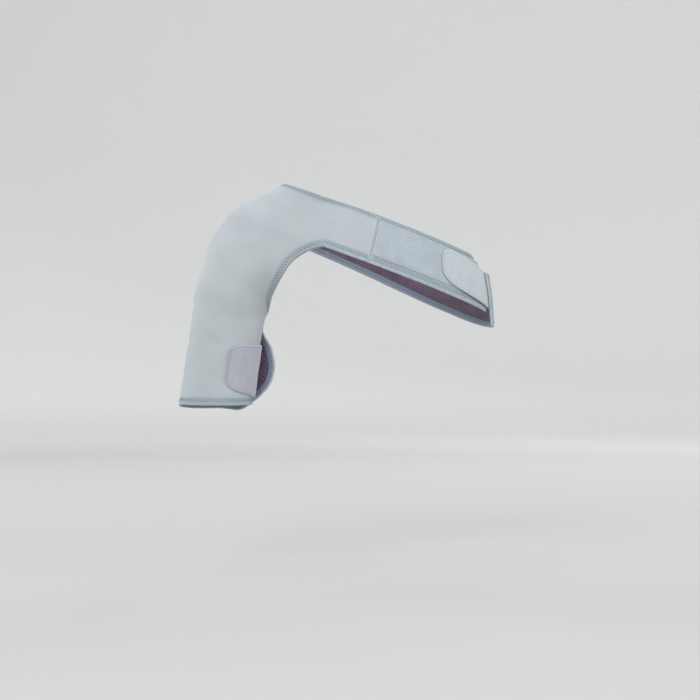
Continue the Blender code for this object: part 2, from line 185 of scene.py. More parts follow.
@dataclass(frozen=True)
class WornForm:
    """The rounded chest and tapered limbs that the cloth lies on."""

    chest_centre: Place = (0.1535, -0.014, -0.195)
    chest_half: Place = (0.141, 0.096, 0.200)
    chest_squareness: float = 3.5
    chest_lean: float = 0.10
    collar: Limb = Limb((0.000, 0.000, -0.057), (0.210, -0.007, -0.055), 0.036, 0.044)
    neck_slope: Limb = Limb((-0.007, 0.002, -0.040), (0.125, 0.010, 0.020), 0.032, 0.038)
    shoulder: Limb = Limb((-0.022, 0.000, -0.075), (-0.036, 0.000, -0.116), 0.041, 0.039)
    upper_arm: Limb = Limb((-0.036, 0.000, -0.116), (-0.059, 0.000, -0.267), 0.039, 0.042)
    front_fold: Limb = Limb((-0.018, -0.012, -0.090), (0.085, -0.038, -0.082), 0.028, 0.028)
    back_fold: Limb = Limb((-0.018, 0.012, -0.086), (0.085, 0.038, -0.072), 0.028, 0.028)
    collar_blend: float = 0.045
    slope_blend: float = 0.025
    fold_blend: float = 0.018
    elbow_blend: float = 0.012
    armpit_blend: float = 0.018
    fullness: tuple[tuple[Place, float, float], ...] = (
        ((-0.050, -0.012, -0.044), 0.030, 0.0022),
        ((-0.068, -0.012, -0.078), 0.026, 0.0022),
        ((-0.082, -0.012, -0.145), 0.034, 0.0022),
        ((0.004, -0.010, -0.128), 0.030, 0.0028),
    )
    long_waves: tuple[tuple[Place, float, float], ...] = (
        ((95.0, 20.0, 150.0), 0.4, 0.00016),
        ((-60.0, 110.0, 95.0), 1.9, 0.00014),
        ((150.0, -90.0, -60.0), 4.0, 0.00012),
        ((40.0, 60.0, -250.0), 2.6, 0.00007),
    )
    halvings: int = 16

    def chest_distance(self, points: Array) -> Array:
        """Distance, near enough, from the rounded barrel of the chest, which leans back.

        Args:
            points: Places in metres, any number of rows.

        Returns:
            Metres to the barrel, negative inside.
        """
        offset = points - np.array(self.chest_centre)
        x, z = offset[..., 0], offset[..., 2]
        y = offset[..., 1] - self.chest_lean * z
        wide, deep, tall = self.chest_half
        n = self.chest_squareness
        across = (x / wide) ** 2 + (y / deep) ** 2 + 1e-9
        tallness = np.abs(z) / tall + 1e-9
        level = (across ** (n / 2) + tallness ** n) ** (1 / n)
        side = level ** (1 - n) * across ** (n / 2 - 1)
        slope_z = level ** (1 - n) * tallness ** (n - 1) / tall
        slope = np.sqrt((side * x / wide ** 2) ** 2 + (side * y / deep ** 2) ** 2 + slope_z ** 2)
        return (level - 1) / np.maximum(slope, 0.1)

    @staticmethod
    def blend(first: Array, second: Array, radius: float) -> Array:
        """Union of two distances with a rounded valley."""
        share = np.clip(0.5 + 0.5 * (second - first) / radius, 0.0, 1.0)
        return second + (first - second) * share - radius * share * (1.0 - share)

    def distance(self, points: Array) -> Array:
        """Distance of points from the whole form, negative inside.

        Args:
            points: Places in metres, any number of rows.

        Returns:
            Metres to the form.
        """
        chest, collar = self.chest_distance(points), self.collar.distance(points)
        trunk = self.blend(chest, collar, self.collar_blend)
        trunk = self.blend(trunk, self.neck_slope.distance(points), self.slope_blend)
        shoulder, upper_arm = self.shoulder.distance(points), self.upper_arm.distance(points)
        arm = self.blend(shoulder, upper_arm, self.elbow_blend)
        for fold in (self.front_fold, self.back_fold):
            arm = self.blend(arm, fold.distance(points), self.fold_blend)
        return self.blend(trunk, arm, self.armpit_blend)

    def normal(self, points: Array) -> Array:
        """Outward direction of the form at points.

        Args:
            points: Places in metres, any number of rows.

        Returns:
            Unit directions.
        """
        step = 0.0005
        slopes = []
        for axis in np.eye(3):
            ahead, behind = points + axis * step, points - axis * step
            slopes.append(self.distance(ahead) - self.distance(behind))
        return unit(np.stack(slopes, -1))

    def reach(
        self, origin: Array, direction: Array, far: float = 0.30, pace: float = 0.004
    ) -> Array:
        """First points where rays from inside the form leave it.

        Args:
            origin: Starts of the rays.
            direction: Unit directions of the rays.
            far: Longest way to look.
            pace: Step of the first search.

        Returns:
            Points on the form.
        """
        origin, direction = np.asarray(origin, float), np.asarray(direction, float)
        origin, direction = np.broadcast_arrays(origin, direction)
        near = np.zeros(origin.shape[:-1])
        done = np.zeros(near.shape, bool)
        for distance in np.arange(pace, far, pace):
            done |= self.distance(origin + direction * distance) > 0
            near = np.where(done, near, distance)
            if done.all():
                break
        beyond = near + pace
        for _ in range(self.halvings):
            middle = (near + beyond) / 2
            outside = self.distance(origin + direction * middle[..., None]) > 0
            beyond = np.where(outside, middle, beyond)
            near = np.where(outside, near, middle)
        return origin + direction * near[..., None]

    def settle(self, points: Array, rounds: int = 4) -> Array:
        """Points moved to the nearest place on the form.

        Args:
            points: Places near the form.
            rounds: How often the move is repeated.

        Returns:
            Points on the form.
        """
        for _ in range(rounds):
            points = points - self.normal(points) * self.distance(points)[..., None]
        return points

    def lifted(self, points: Array, lift: Array | float) -> Array:
        """Points of the form moved out to a layer's inner face, with the cloth's soft waves."""
        lift = np.broadcast_to(lift, points.shape[:-1])
        return points + self.normal(points) * (lift + self.waves(points))[..., None]

    def waves(self, points: Array) -> Array:
        """Low, long waves and full places that every layer of cloth shares, in metres.

        Args:
            points: Places in metres, any number of rows.

        Returns:
            Height above the form at each point.
        """
        height = np.zeros(points.shape[:-1])
        for centre, width, rise in self.fullness:
            gap = np.linalg.norm(points - np.array(centre), axis=-1)
            height += rise * np.exp(-(gap / width) ** 2)
        for direction, turn, size in self.long_waves:
            height += size * np.sin(points @ np.array(direction) + turn)
        return height


@dataclass(frozen=True)
class ChestLoop:
    """The tilted strap loop round the chest, told by angle or length and by drop below its edge."""

    form: WornForm
    centre: Place = (0.150, -0.007, -0.024)
    tilt: Place = (0.355, -0.100, 1.000)
    width: float = 0.060
    seam_angle: float = 102.5
    seam_slant: float = 0.006
    slant_reach: float = 0.060
    corner_angle: float = 138.0
    facet: float = 0.0085
    table_steps: int = 721
    even_steps: int = 241
    table: tuple[Array, Array] = field(init=False)

    def __post_init__(self) -> None:
        """Angles all the way round from the front seam, with the length up to each."""
        angles = np.linspace(-self.seam_angle, 360.0 - self.seam_angle, self.table_steps)
        lengths = travelled(self.point(angles, self.width / 2))
        object.__setattr__(self, "table", (angles, lengths))

    def point(self, angle: Array, drop: Array | float) -> Array:
        """Place on the form at an angle round the loop and a drop below the neck edge.

        Args:
            angle: Degrees, 0 at the left side, 90 at the back, 180 at the braced shoulder.
            drop: Metres below the neck edge, square to the loop's tilt.

        Returns:
            Points on the form.
        """
        up = unit(np.array(self.tilt))
        left = unit(np.cross((0.0, 1.0, 0.0), up))
        back = np.cross(up, left)
        angle, drop = np.broadcast_arrays(np.radians(angle), drop)
        outward = np.cos(angle)[..., None] * left + np.sin(angle)[..., None] * back
        return self.form.reach(np.array(self.centre) - drop[..., None] * up, outward)

    def angle_at(self, length: Array) -> Array:
        """Angle round the loop at a length along the strap from the front seam."""
        return np.interp(length, self.table[1], self.table[0])

    def length_at(self, angle: float) -> float:
        """Length along the strap from the front seam to an angle."""
        return float(np.interp(angle, self.table[0], self.table[1]))

    def slanted(self, angle: Array, drop: Array) -> Array:
        """Angles moved so that the front seam leans towards the shoulder at its top.

        Args:
            angle: Degrees round the loop.
            drop: Metres below the neck edge.

        Returns:
            The moved angles.
        """
        angles, lengths = self.table
        length = np.interp(angle, angles, lengths)
        from_seam = np.minimum(length, lengths[-1] - length)
        near_seam = ease(1.0 - from_seam / self.slant_reach)
        lean = self.seam_slant * (1.0 - drop / self.width) * near_seam
        return angle - lean * (angles[1] - angles[0]) / (lengths[1] - lengths[0])

    def even_angles(self, start: float, end: float, count: int) -> Array:
        """Angles between two ends that space the band's upper and lower edges evenly.

        Args:
            start: First angle.
            end: Last angle.
            count: Number of steps.

        Returns:
            Rising angles, both ends included.
        """
        fine = np.linspace(start, end, self.even_steps)
        travel = travelled(self.point(fine, 0.0)) + travelled(self.point(fine, self.width))
        return np.interp(np.linspace(0.0, travel[-1], count + 1), travel, fine)


@dataclass(frozen=True)
class ArmSpace:
    """Places round the arm, told by angle from its inner side towards the front, and height."""

    form: WornForm

    def bone_at(self, height: Array) -> Array:
        """Middle of the arm at a height.

        Args:
            height: Heights in metres.

        Returns:
            Points on the bone.
        """
        shoulder, arm = self.form.shoulder, self.form.upper_arm
        slope = (shoulder.start[0] - arm.end[0]) / (shoulder.start[2] - arm.end[2])
        heights = [arm.end[2], arm.start[2], shoulder.start[2], 0.0]
        top = shoulder.start[0] - slope * shoulder.start[2]
        height = np.asarray(height, float)
        x = np.interp(height, heights, [arm.end[0], arm.start[0], shoulder.start[0], top])
        return np.stack([x, np.zeros_like(x), height], -1)

    @staticmethod
    def outward(angle: Array) -> Array:
        """Level direction at an angle round the arm."""
        angle = np.radians(angle)
        return np.stack([np.cos(angle), -np.sin(angle), np.zeros_like(angle)], -1)

    def point(self, angle: Array, height: Array) -> Array:
        """Place on the form at an angle round the arm and a height.

        Args:
            angle: Degrees round the arm.
            height: Heights in metres.

        Returns:
            Points on the form.
        """
        angle, height = np.asarray(angle, float), np.asarray(height, float)
        angle, height = np.broadcast_arrays(angle, height)
        return self.form.reach(self.bone_at(height), self.outward(angle), pace=0.002)

    def angle_of(self, points: Array) -> Array:
        """Angle round the arm of each point, 0 to 360 degrees."""
        offset = points - self.bone_at(points[..., 2])
        return np.degrees(np.arctan2(-offset[..., 1], offset[..., 0])) % 360.0

    def unrolled(self, points: Array, lowest_angle: float) -> Array:
        """Points as angle from lowest_angle up, height and distance from the arm's middle.

        Args:
            points: Places round the arm.
            lowest_angle: Where the count of degrees starts.

        Returns:
            Angle, height and distance in the last axis.
        """
        angle = (self.angle_of(points) - lowest_angle) % 360.0 + lowest_angle
        radius = np.linalg.norm(points - self.bone_at(points[..., 2]), axis=-1)
        return np.stack([angle, points[..., 2], radius], -1)

    def rolled(self, places: Array) -> Array:
        """Points on the form nearest to angles, heights and distances round the arm."""
        outward = self.outward(places[..., 0]) * places[..., 2:]
        return self.form.settle(self.bone_at(places[..., 1]) + outward)


@dataclass(frozen=True)
class ClothGrid:
    """Rows and columns of points on a cloth's inner face, with their places on the flat cloth."""

    points: Array
    flat: Array


def laid_flat(points: Array) -> Array:
    """Places of a grid's points on the flat cloth, from its real lengths both ways.

    Args:
        points: Rows by columns by three.

    Returns:
        Metres along the rows and up the columns, from the middle row.
    """
    steps = np.linalg.norm(np.diff(points, axis=1), axis=2).mean(axis=0)
    onward = np.concatenate([[0.0], np.cumsum(steps)])
    rises = np.linalg.norm(np.diff(points, axis=0), axis=2)
    upward = np.concatenate([np.zeros((1, points.shape[1])), np.cumsum(rises, axis=0)])
    upward = upward - upward[-1] / 2
    return np.stack([np.broadcast_to(onward, upward.shape), upward], -1)


@dataclass(frozen=True)
class EdgeRun:
    """One side of a cloth's outline, between two corners."""

    vertices: Array
    points: Array
    past_edge: Array
    normals: Array


class Side(Enum):
    """Face of a cloth that a thread lies on."""

    OUTER = 1.0
    INNER = -1.0


@dataclass(frozen=True)
class Relief:
    """How a cloth's outer face rises and dips beside its edge, in metres."""

    hem_width: float = 0.0094
    hem_rise: float = 0.00012
    hem_step: float = 0.0014
    groove_inset: float = 0.0054
    groove_depth: float = 0.00020
    groove_width: float = 0.0017
    nap: float = 0.0
    nap_seed: int = 7

    def rise(self, edge_distance: Array) -> Array:
        """Height above the cloth's plain face at distances from its edge.

        Args:
            edge_distance: Metres from the hemmed edge.

        Returns:
            Metres outwards.
        """
        hem = self.hem_rise * ease((self.hem_width - edge_distance) / self.hem_step)
        from_groove = (edge_distance - self.groove_inset) / self.groove_width
        rise = hem - self.groove_depth * np.exp(-from_groove ** 2)
        if self.nap:
            rise = rise + self.nap * np.random.default_rng(self.nap_seed).random(len(edge_distance))
        return rise


class Edging(Enum):
    """How a cloth is finished along its edge."""

    HEMMED = Relief()
    FLAT_CUT = Relief(hem_rise=0.0, groove_depth=0.00008, groove_inset=0.0024)
    NAPPED = Relief(hem_rise=0.0, groove_depth=0.00010, groove_inset=0.0022, nap=0.00016)


class Slot(Enum):
    """Material slots of the brace."""

    SLEEVE = "sleeve_neoprene"
    STRAP = "strap_neoprene"
    PLUSH = "loop_plush"
    TAB = "hook_tab"


class ClothShell:
    """A sheet of cloth with both faces and a rounded edge, built from grids that share borders."""

    ARC = (90.0, 60.0, 30.0, 0.0)
    ROUND_RIM = 0.46
    SQUARE_RIM = 0.05
    RELIEF_START = 0.0012
    CORNER_TURN = 50.0
    CORNER_SPACING = 0.004
    SHARPEST_MITRE = 0.72
    OUTLINE_SAMPLE = 0.0008
    RIM_STEP = 0.0007

    def __init__(
        self,
        name: str,
        grids: list[ClothGrid],
        thickness: float,
        edging: Edging = Edging.HEMMED,
        butt_edges: tuple[Place, ...] = (),
    ) -> None:
        """Joins the grids and works out normals, outline and edge distances.

        Args:
            name: Name of the piece.
            grids: Parts of the sheet.
            thickness: Wall in metres, outwards from the grids.
            edging: How its edge is finished.
            butt_edges: Places near outline runs that are cut square for a seam.
        """
        self.name, self.thickness = name, thickness
        raw, flat, quads, start = [], [], [], 0
        for grid in grids:
            rows, columns = grid.points.shape[:2]
            index = start + np.arange(rows * columns).reshape(rows, columns)
            corners = (index[:-1, :-1], index[:-1, 1:], index[1:, 1:], index[1:, :-1])
            quads.append(np.stack([corner.ravel() for corner in corners], -1))
            raw.append(grid.points.reshape(-1, 3))
            flat.append(grid.flat.reshape(-1, 2))
            start += rows * columns
        self.flat, self.raw_quads = np.concatenate(flat), np.concatenate(quads)
        keys = np.round(np.concatenate(raw), 7)
        _, first, merged = np.unique(keys, axis=0, return_index=True, return_inverse=True)
        self.points = np.concatenate(raw)[first]
        self.quads = merged.reshape(-1)[self.raw_quads]
        self.normals = self._vertex_normals()
        self.past_edge = np.zeros_like(self.points)
        self.runs = self._outline_runs()
        self.butts = [self.run_near(place) for place in butt_edges]
        self.hems = [run for run in self.runs if not any(run is butt for butt in self.butts)]
        self.edge_distance = self._edge_distances()
        self.rim_radius = np.full(len(self.points), self.ROUND_RIM * thickness)
        for butt in self.butts:
            self.rim_radius[butt.vertices] = self.SQUARE_RIM * thickness
        rise = edging.value.rise(self.edge_distance) * ease(self.edge_distance / self.RELIEF_START)
        self.outer = self.points + self.normals * (thickness + rise)[:, None]
        self.inner = self.points.copy()
        self._surfaces: dict[Side, BVHTree] = {}

    def _vertex_normals(self) -> Array:
        """Outward normals of the joined grid.

        Returns:
            One unit normal for each point.
        """
        a, b, c, d = (self.points[self.quads[:, k]] for k in range(4))
        face_normals = np.cross(c - a, d - b)
        normals = np.zeros_like(self.points)
        for k in range(4):
            np.add.at(normals, self.quads[:, k], face_normals)
        return unit(normals)

    def _outline_runs(self) -> list[EdgeRun]:
        """The cloth's outline, cut at its corners, with directions past the edge.

        Returns:
            Its sides in order.
        """
        edges = np.concatenate([self.quads[:, [k, (k + 1) % 4]] for k in range(4)])
        known = {(int(a), int(b)) for a, b in edges}
        follows = {a: b for a, b in known if (b, a) not in known}
        runs = []
        self.edge_pairs = np.array(sorted(follows.items()))
        while follows:
            loop = [next(iter(follows))]
            while loop[-1] in follows:
                loop.append(follows.pop(loop[-1]))
            runs.extend(self._split_loop(np.array(loop[:-1])))
        return runs

    def _split_loop(self, loop: Array) -> list[EdgeRun]:
        """One closed outline as runs between its sharp corners.

        Args:
            loop: Points of the outline in order.

        Returns:
            The runs, or one run that closes where there are no corners.
        """
        points, normals = self.points[loop], self.normals[loop]
        onward = unit(np.roll(points, -1, axis=0) - points)
        before = np.roll(onward, 1, axis=0)
        past = np.cross(onward, normals) + np.cross(before, normals)
        half_turn = np.linalg.norm(past, axis=1) / 2
        past = unit(past) / np.clip(half_turn, self.SHARPEST_MITRE, 1.0)[:, None]
        self.past_edge[loop] = past
        least = math.cos(math.radians(self.CORNER_TURN))
        corners = np.flatnonzero(np.einsum("ij,ij->i", onward, before) < least)
        gaps = np.linalg.norm(points[corners] - points[np.roll(corners, 1)], axis=1)
        apart = gaps > self.CORNER_SPACING
        corners = corners[apart] if apart.any() else corners[:1]
        if len(corners) < 2:
            first = int(corners[0]) if len(corners) else 0
            closed = (first + np.arange(len(loop) + 1)) % len(loop)
            return [EdgeRun(loop[closed], points[closed], past[closed], normals[closed])]
        runs = []
        for here, there in zip(corners, np.roll(corners, -1)):
            count = (there - here) % len(loop)
            span = (here + np.arange(count + 1)) % len(loop)
            runs.append(EdgeRun(loop[span], points[span], past[span], normals[span]))
        return runs

    def _edge_distances(self) -> Array:
        """Distance of every point from the cloth's hemmed outline.

        Returns:
            Metres for each point.
        """
        samples = []
        for run in self.hems:
            travel = travelled(run.points)
            count = max(2, round(travel[-1] / self.OUTLINE_SAMPLE))
            wanted = np.linspace(0.0, travel[-1], count)
            samples.append(along(run.points, travel, wanted))
        samples = np.concatenate(samples)
        tree = KDTree(len(samples))
        for index, sample in enumerate(samples):
            tree.insert(sample, index)
        tree.balance()
        return np.array([tree.find(point)[2] for point in self.points])

    def run_near(self, place: Place) -> EdgeRun:
        """Outline run that passes nearest to a place."""
        gaps = [np.linalg.norm(run.points[1:-1] - np.array(place), axis=1) for run in self.runs]
        return self.runs[int(np.argmin([gap.min() for gap in gaps]))]

    def surface(self, side: Side) -> BVHTree:
        """Search tree of one face of the cloth.

        Args:
            side: Which face.

        Returns:
            Tree of the face's quads.
        """
        if side not in self._surfaces:
            points = self.outer if side is Side.OUTER else self.inner
            self._surfaces[side] = BVHTree.FromPolygons(points.tolist(), self.quads.tolist())
        return self._surfaces[side]

    def snapped(self, places: Array, side: Side) -> tuple[Array, Array]:
        """Places moved onto one face of the cloth.

        Args:
            places: Points near the face.
            side: Which face.

        Returns:
            Points on the face and directions away from the cloth there.
        """
        tree = self.surface(side)
        found = [tree.find_nearest(Vector(place)) for place in places]
        points = np.array([hit[0] for hit in found])
        away = np.array([hit[1] for hit in found]) * side.value
        return points, away

    def needle_line(
        self, run: EdgeRun, insets: tuple[float, ...], pitch: float, side: Side, ends: float = 0.003
    ) -> tuple[Array, Array]:
        """Needle holes along an outline run, at its insets in turn.

        Args:
            run: Side of the outline.
            insets: Distances from the edge, taken one after another.
            pitch: Distance between holes along the edge.
            side: Face that they are on.
            ends: Length left bare at both ends.

        Returns:
            Holes on the face and directions away from it.
        """
        travel = travelled(run.points)
        count = max(2, round((travel[-1] - 2 * ends) / pitch))
        wanted = np.linspace(ends, travel[-1] - ends, count + 1)
        points = along(run.points, travel, wanted)
        past = unit(along(run.past_edge, travel, wanted))
        normals = unit(along(run.normals, travel, wanted))
        lift = self.thickness if side is Side.OUTER else 0.0
        inset = np.resize(insets, count + 1)[:, None]
        return self.snapped(points - past * inset + normals * lift, side)

    def build(self, materials: list[bpy.types.Material]) -> bpy.types.Object:
        """Mesh object of the whole sheet.

        Args:
            materials: Finish of the outer face, then of the inner face.

        Returns:
            The linked object.
        """
        count, rings = len(self.points), 2 * len(self.ARC)
        border = self.edge_pairs[:, 0]
        order = np.full(count, -1)
        order[border] = np.arange(len(border))
        radius, normal = self.rim_radius[border, None], self.normals[border]
        past = self.past_edge[border]
        outer, inner = self.outer.copy(), self.inner.copy()
        base, top = self.points[border] - past * radius, self.thickness - radius
        rim = []
        for angle in np.radians(self.ARC):
            out, up = math.cos(angle), math.sin(angle)
            rim.append(base + past * radius * out + normal * (top + radius * up))
        for angle in np.radians(self.ARC[::-1]):
            out, up = math.cos(angle), math.sin(angle)
            rim.append(base + past * radius * out + normal * (radius - radius * up))
        outer[border], inner[border] = rim[0], rim[-1]
        vertices = np.concatenate([outer, inner, *rim[1:-1]])
        faces = [self.quads, self.quads[:, ::-1] + count]
        a, b = order[self.edge_pairs[:, 0]], order[self.edge_pairs[:, 1]]
        ring_index = [border]
        for ring in range(rings - 2):
            ring_index.append(2 * count + ring * len(border) + np.arange(len(border)))
        ring_index.append(border + count)
        for upper, lower in zip(ring_index, ring_index[1:]):
            faces.append(np.stack([upper[b], upper[a], lower[a], lower[b]], -1))
        mesh = bpy.data.meshes.new(self.name)
        mesh.from_pydata(vertices.tolist(), [], np.concatenate(faces).tolist())
        self._dress(mesh, materials, border, a, b, rings)
        return linked(self.name, mesh)

    def _dress(
        self,
        mesh: bpy.types.Mesh,
        materials: list[bpy.types.Material],
        border: Array,
        a: Array,
        b: Array,
        rings: int,
    ) -> None:
        """Flat cloth places, edge distances, materials and smooth shading on the new mesh.

        Args:
            mesh: The cloth's mesh.
            materials: Its finishes.
            border: Points of the outline.
            a: First end of each outline edge.
            b: Last end of each outline edge.
            rings: Rows of points round the rim.
        """
        for material in materials:
            mesh.materials.append(material)
        flat_of_vertex = np.zeros((len(self.points), 2))
        flat_of_vertex[self.quads.ravel()] = self.flat[self.raw_quads.ravel()]
        edge_flat = flat_of_vertex[border]
        corners = [self.flat[self.raw_quads], self.flat[self.raw_quads[:, ::-1]]]
        for ring in range(rings - 1):
            step = np.array((0.0, self.RIM_STEP * ring))
            upper, lower = edge_flat + step, edge_flat + step + (0.0, self.RIM_STEP)
            corners.append(np.stack([upper[b], upper[a], lower[a], lower[b]], 1))
        layer = mesh.uv_layers.new(name="flat_cloth")
        layer.data.foreach_set("uv", np.concatenate(corners).astype(np.float32).ravel())
        distances = np.concatenate([self.edge_distance] * 2 + [np.zeros(len(border))] * (rings - 2))
        attribute = mesh.attributes.new("edge_distance", "FLOAT", "POINT")
        attribute.data.foreach_set("value", distances.astype(np.float32))
        index = np.zeros(len(mesh.polygons), np.int32)
        index[len(self.quads):2 * len(self.quads)] = 1
        mesh.polygons.foreach_set("material_index", index)
        shade_smooth(mesh)


@dataclass(frozen=True)
class Thread:
    """Sewing thread that arches from one needle hole to the next."""

    radius: float = 0.00030
    arch: float = 0.00034
    sink: float = 0.00012
    rings: int = 6
    sides: int = 6
    end_share: float = 0.45

    def legs(self, starts: Array, ends: Array, away: Array) -> tuple[Array, Faces]:
        """Short arched threads.

        Args:
            starts: First hole of each leg.
            ends: Last hole of each leg.
            away: Direction away from the cloth at each leg.

        Returns:
            Vertices and faces of all the legs.
        """
        share = np.linspace(0.0, 1.0, self.rings)
        swell = np.sin(np.pi * share)
        run = ends - starts
        onward = unit(run)
        up = unit(away - onward * np.einsum("ij,ij->i", away, onward)[:, None])
        across = np.cross(onward, up)
        lift = self.arch * swell - self.sink
        middle = starts[:, None] + run[:, None] * share[None, :, None]
        middle = middle + up[:, None] * lift[None, :, None]
        turn = 2 * np.pi * np.arange(self.sides) / self.sides
        radius = self.radius * (self.end_share + (1.0 - self.end_share) * swell ** 0.5)
        ring = np.cos(turn)[:, None] * up[:, None] + np.sin(turn)[:, None] * across[:, None]
        vertices = middle[:, :, None] + ring[:, None] * radius[None, :, None, None]
        single = np.arange(self.rings * self.sides).reshape(self.rings, self.sides)
        shifted = np.roll(single, -1, axis=1)
        quads = np.stack([single[:-1], single[1:], shifted[1:], shifted[:-1]], -1).reshape(-1, 4)
        first = np.arange(len(starts)) * single.size
        faces = (first[:, None, None] + quads).reshape(-1, 4).tolist()
        faces += (first[:, None] + single[0]).tolist()
        faces += (first[:, None] + single[-1][::-1]).tolist()
        return vertices.reshape(-1, 3), faces


FINE_THREAD = Thread(radius=0.00018, arch=0.00016)


@dataclass
class Sewing:
    """All the thread and needle holes of one sub-assembly."""

    name: str
    thread: Thread = Thread()
    hole_radius: float = 0.00075
    hole_sides: int = 8
    hole_heights: tuple[float, float, float] = (0.00006, -0.00004, -0.00030)
    thread_parts: list[tuple[Array, Faces]] = field(default_factory=list)
    hole_parts: list[tuple[Array, Faces]] = field(default_factory=list)

    def sew(self, line: tuple[Array, Array], longest: float = 0.009, holes: bool = True) -> None:
        """Adds thread from hole to hole along a needle line.

        Args:
            line: Needle holes and the directions away from the cloth.
            longest: Legs longer than this are left out.
            holes: Whether the needle holes show.
        """
        points, away = line
        starts, ends = points[:-1], points[1:]
        kept = np.linalg.norm(ends - starts, axis=1) < longest
        leg_away = unit(away[:-1] + away[1:])
        self.thread_parts.append(self.thread.legs(starts[kept], ends[kept], leg_away[kept]))
        if holes:
            self.hole_parts.append(self._dimples(points, away))

    def _dimples(self, points: Array, away: Array) -> tuple[Array, Faces]:
        """Small closed dimples, deepest at the middle.

        Args:
            points: Needle holes.
            away: Directions away from the cloth.

        Returns:
            Vertices and faces of all the dimples.
        """
        sides = self.hole_sides
        rim_height, middle_height, below_height = self.hole_heights
        across = unit(np.cross(away, (0.31, 0.52, 0.79)))
        other = np.cross(away, across)
        turn = 2 * np.pi * np.arange(sides) / sides
        ring = np.cos(turn)[:, None] * across[:, None] + np.sin(turn)[:, None] * other[:, None]
        rim = points[:, None] + ring * self.hole_radius + away[:, None] * rim_height
        middle = points[:, None] + away[:, None] * middle_height
        below = points[:, None] + away[:, None] * below_height
        vertices = np.concatenate([rim, middle, below], axis=1)
        fan = [(k, (k + 1) % sides, sides) for k in range(sides)]
        fan += [((k + 1) % sides, k, sides + 1) for k in range(sides)]
        first = np.arange(len(points)) * (sides + 2)
        faces = (first[:, None, None] + np.array(fan)).reshape(-1, 3).tolist()
        return vertices.reshape(-1, 3), faces

    def build(
        self, thread_finish: bpy.types.Material, hole_finish: bpy.types.Material
    ) -> list[bpy.types.Object]:
        """Objects of the thread and the holes.

        Args:
            thread_finish: Finish of the thread.
            hole_finish: Finish of the needle holes.

        Returns:
            The linked objects.
        """
        pieces = []
        for parts, ending, finish in (
            (self.thread_parts, "_thread", thread_finish),
            (self.hole_parts, "_needle_holes", hole_finish),
        ):
            if not parts:
                continue
            vertices, faces, start = [], [], 0
            for points, part_faces in parts:
                vertices.append(points)
                faces += [[start + index for index in face] for face in part_faces]
                start += len(points)
            mesh = bpy.data.meshes.new(self.name + ending)
            mesh.from_pydata(np.concatenate(vertices).tolist(), [], faces)
            mesh.materials.append(finish)
            shade_smooth(mesh)
            pieces.append(linked(self.name + ending, mesh))
        return pieces


@dataclass(frozen=True)
class Mottle:
    """Soft patches made from noise, none at the lower level and full at the upper."""

    scale: float
    detail: float
    low: float
    high: float
    roughness: float = 0.5


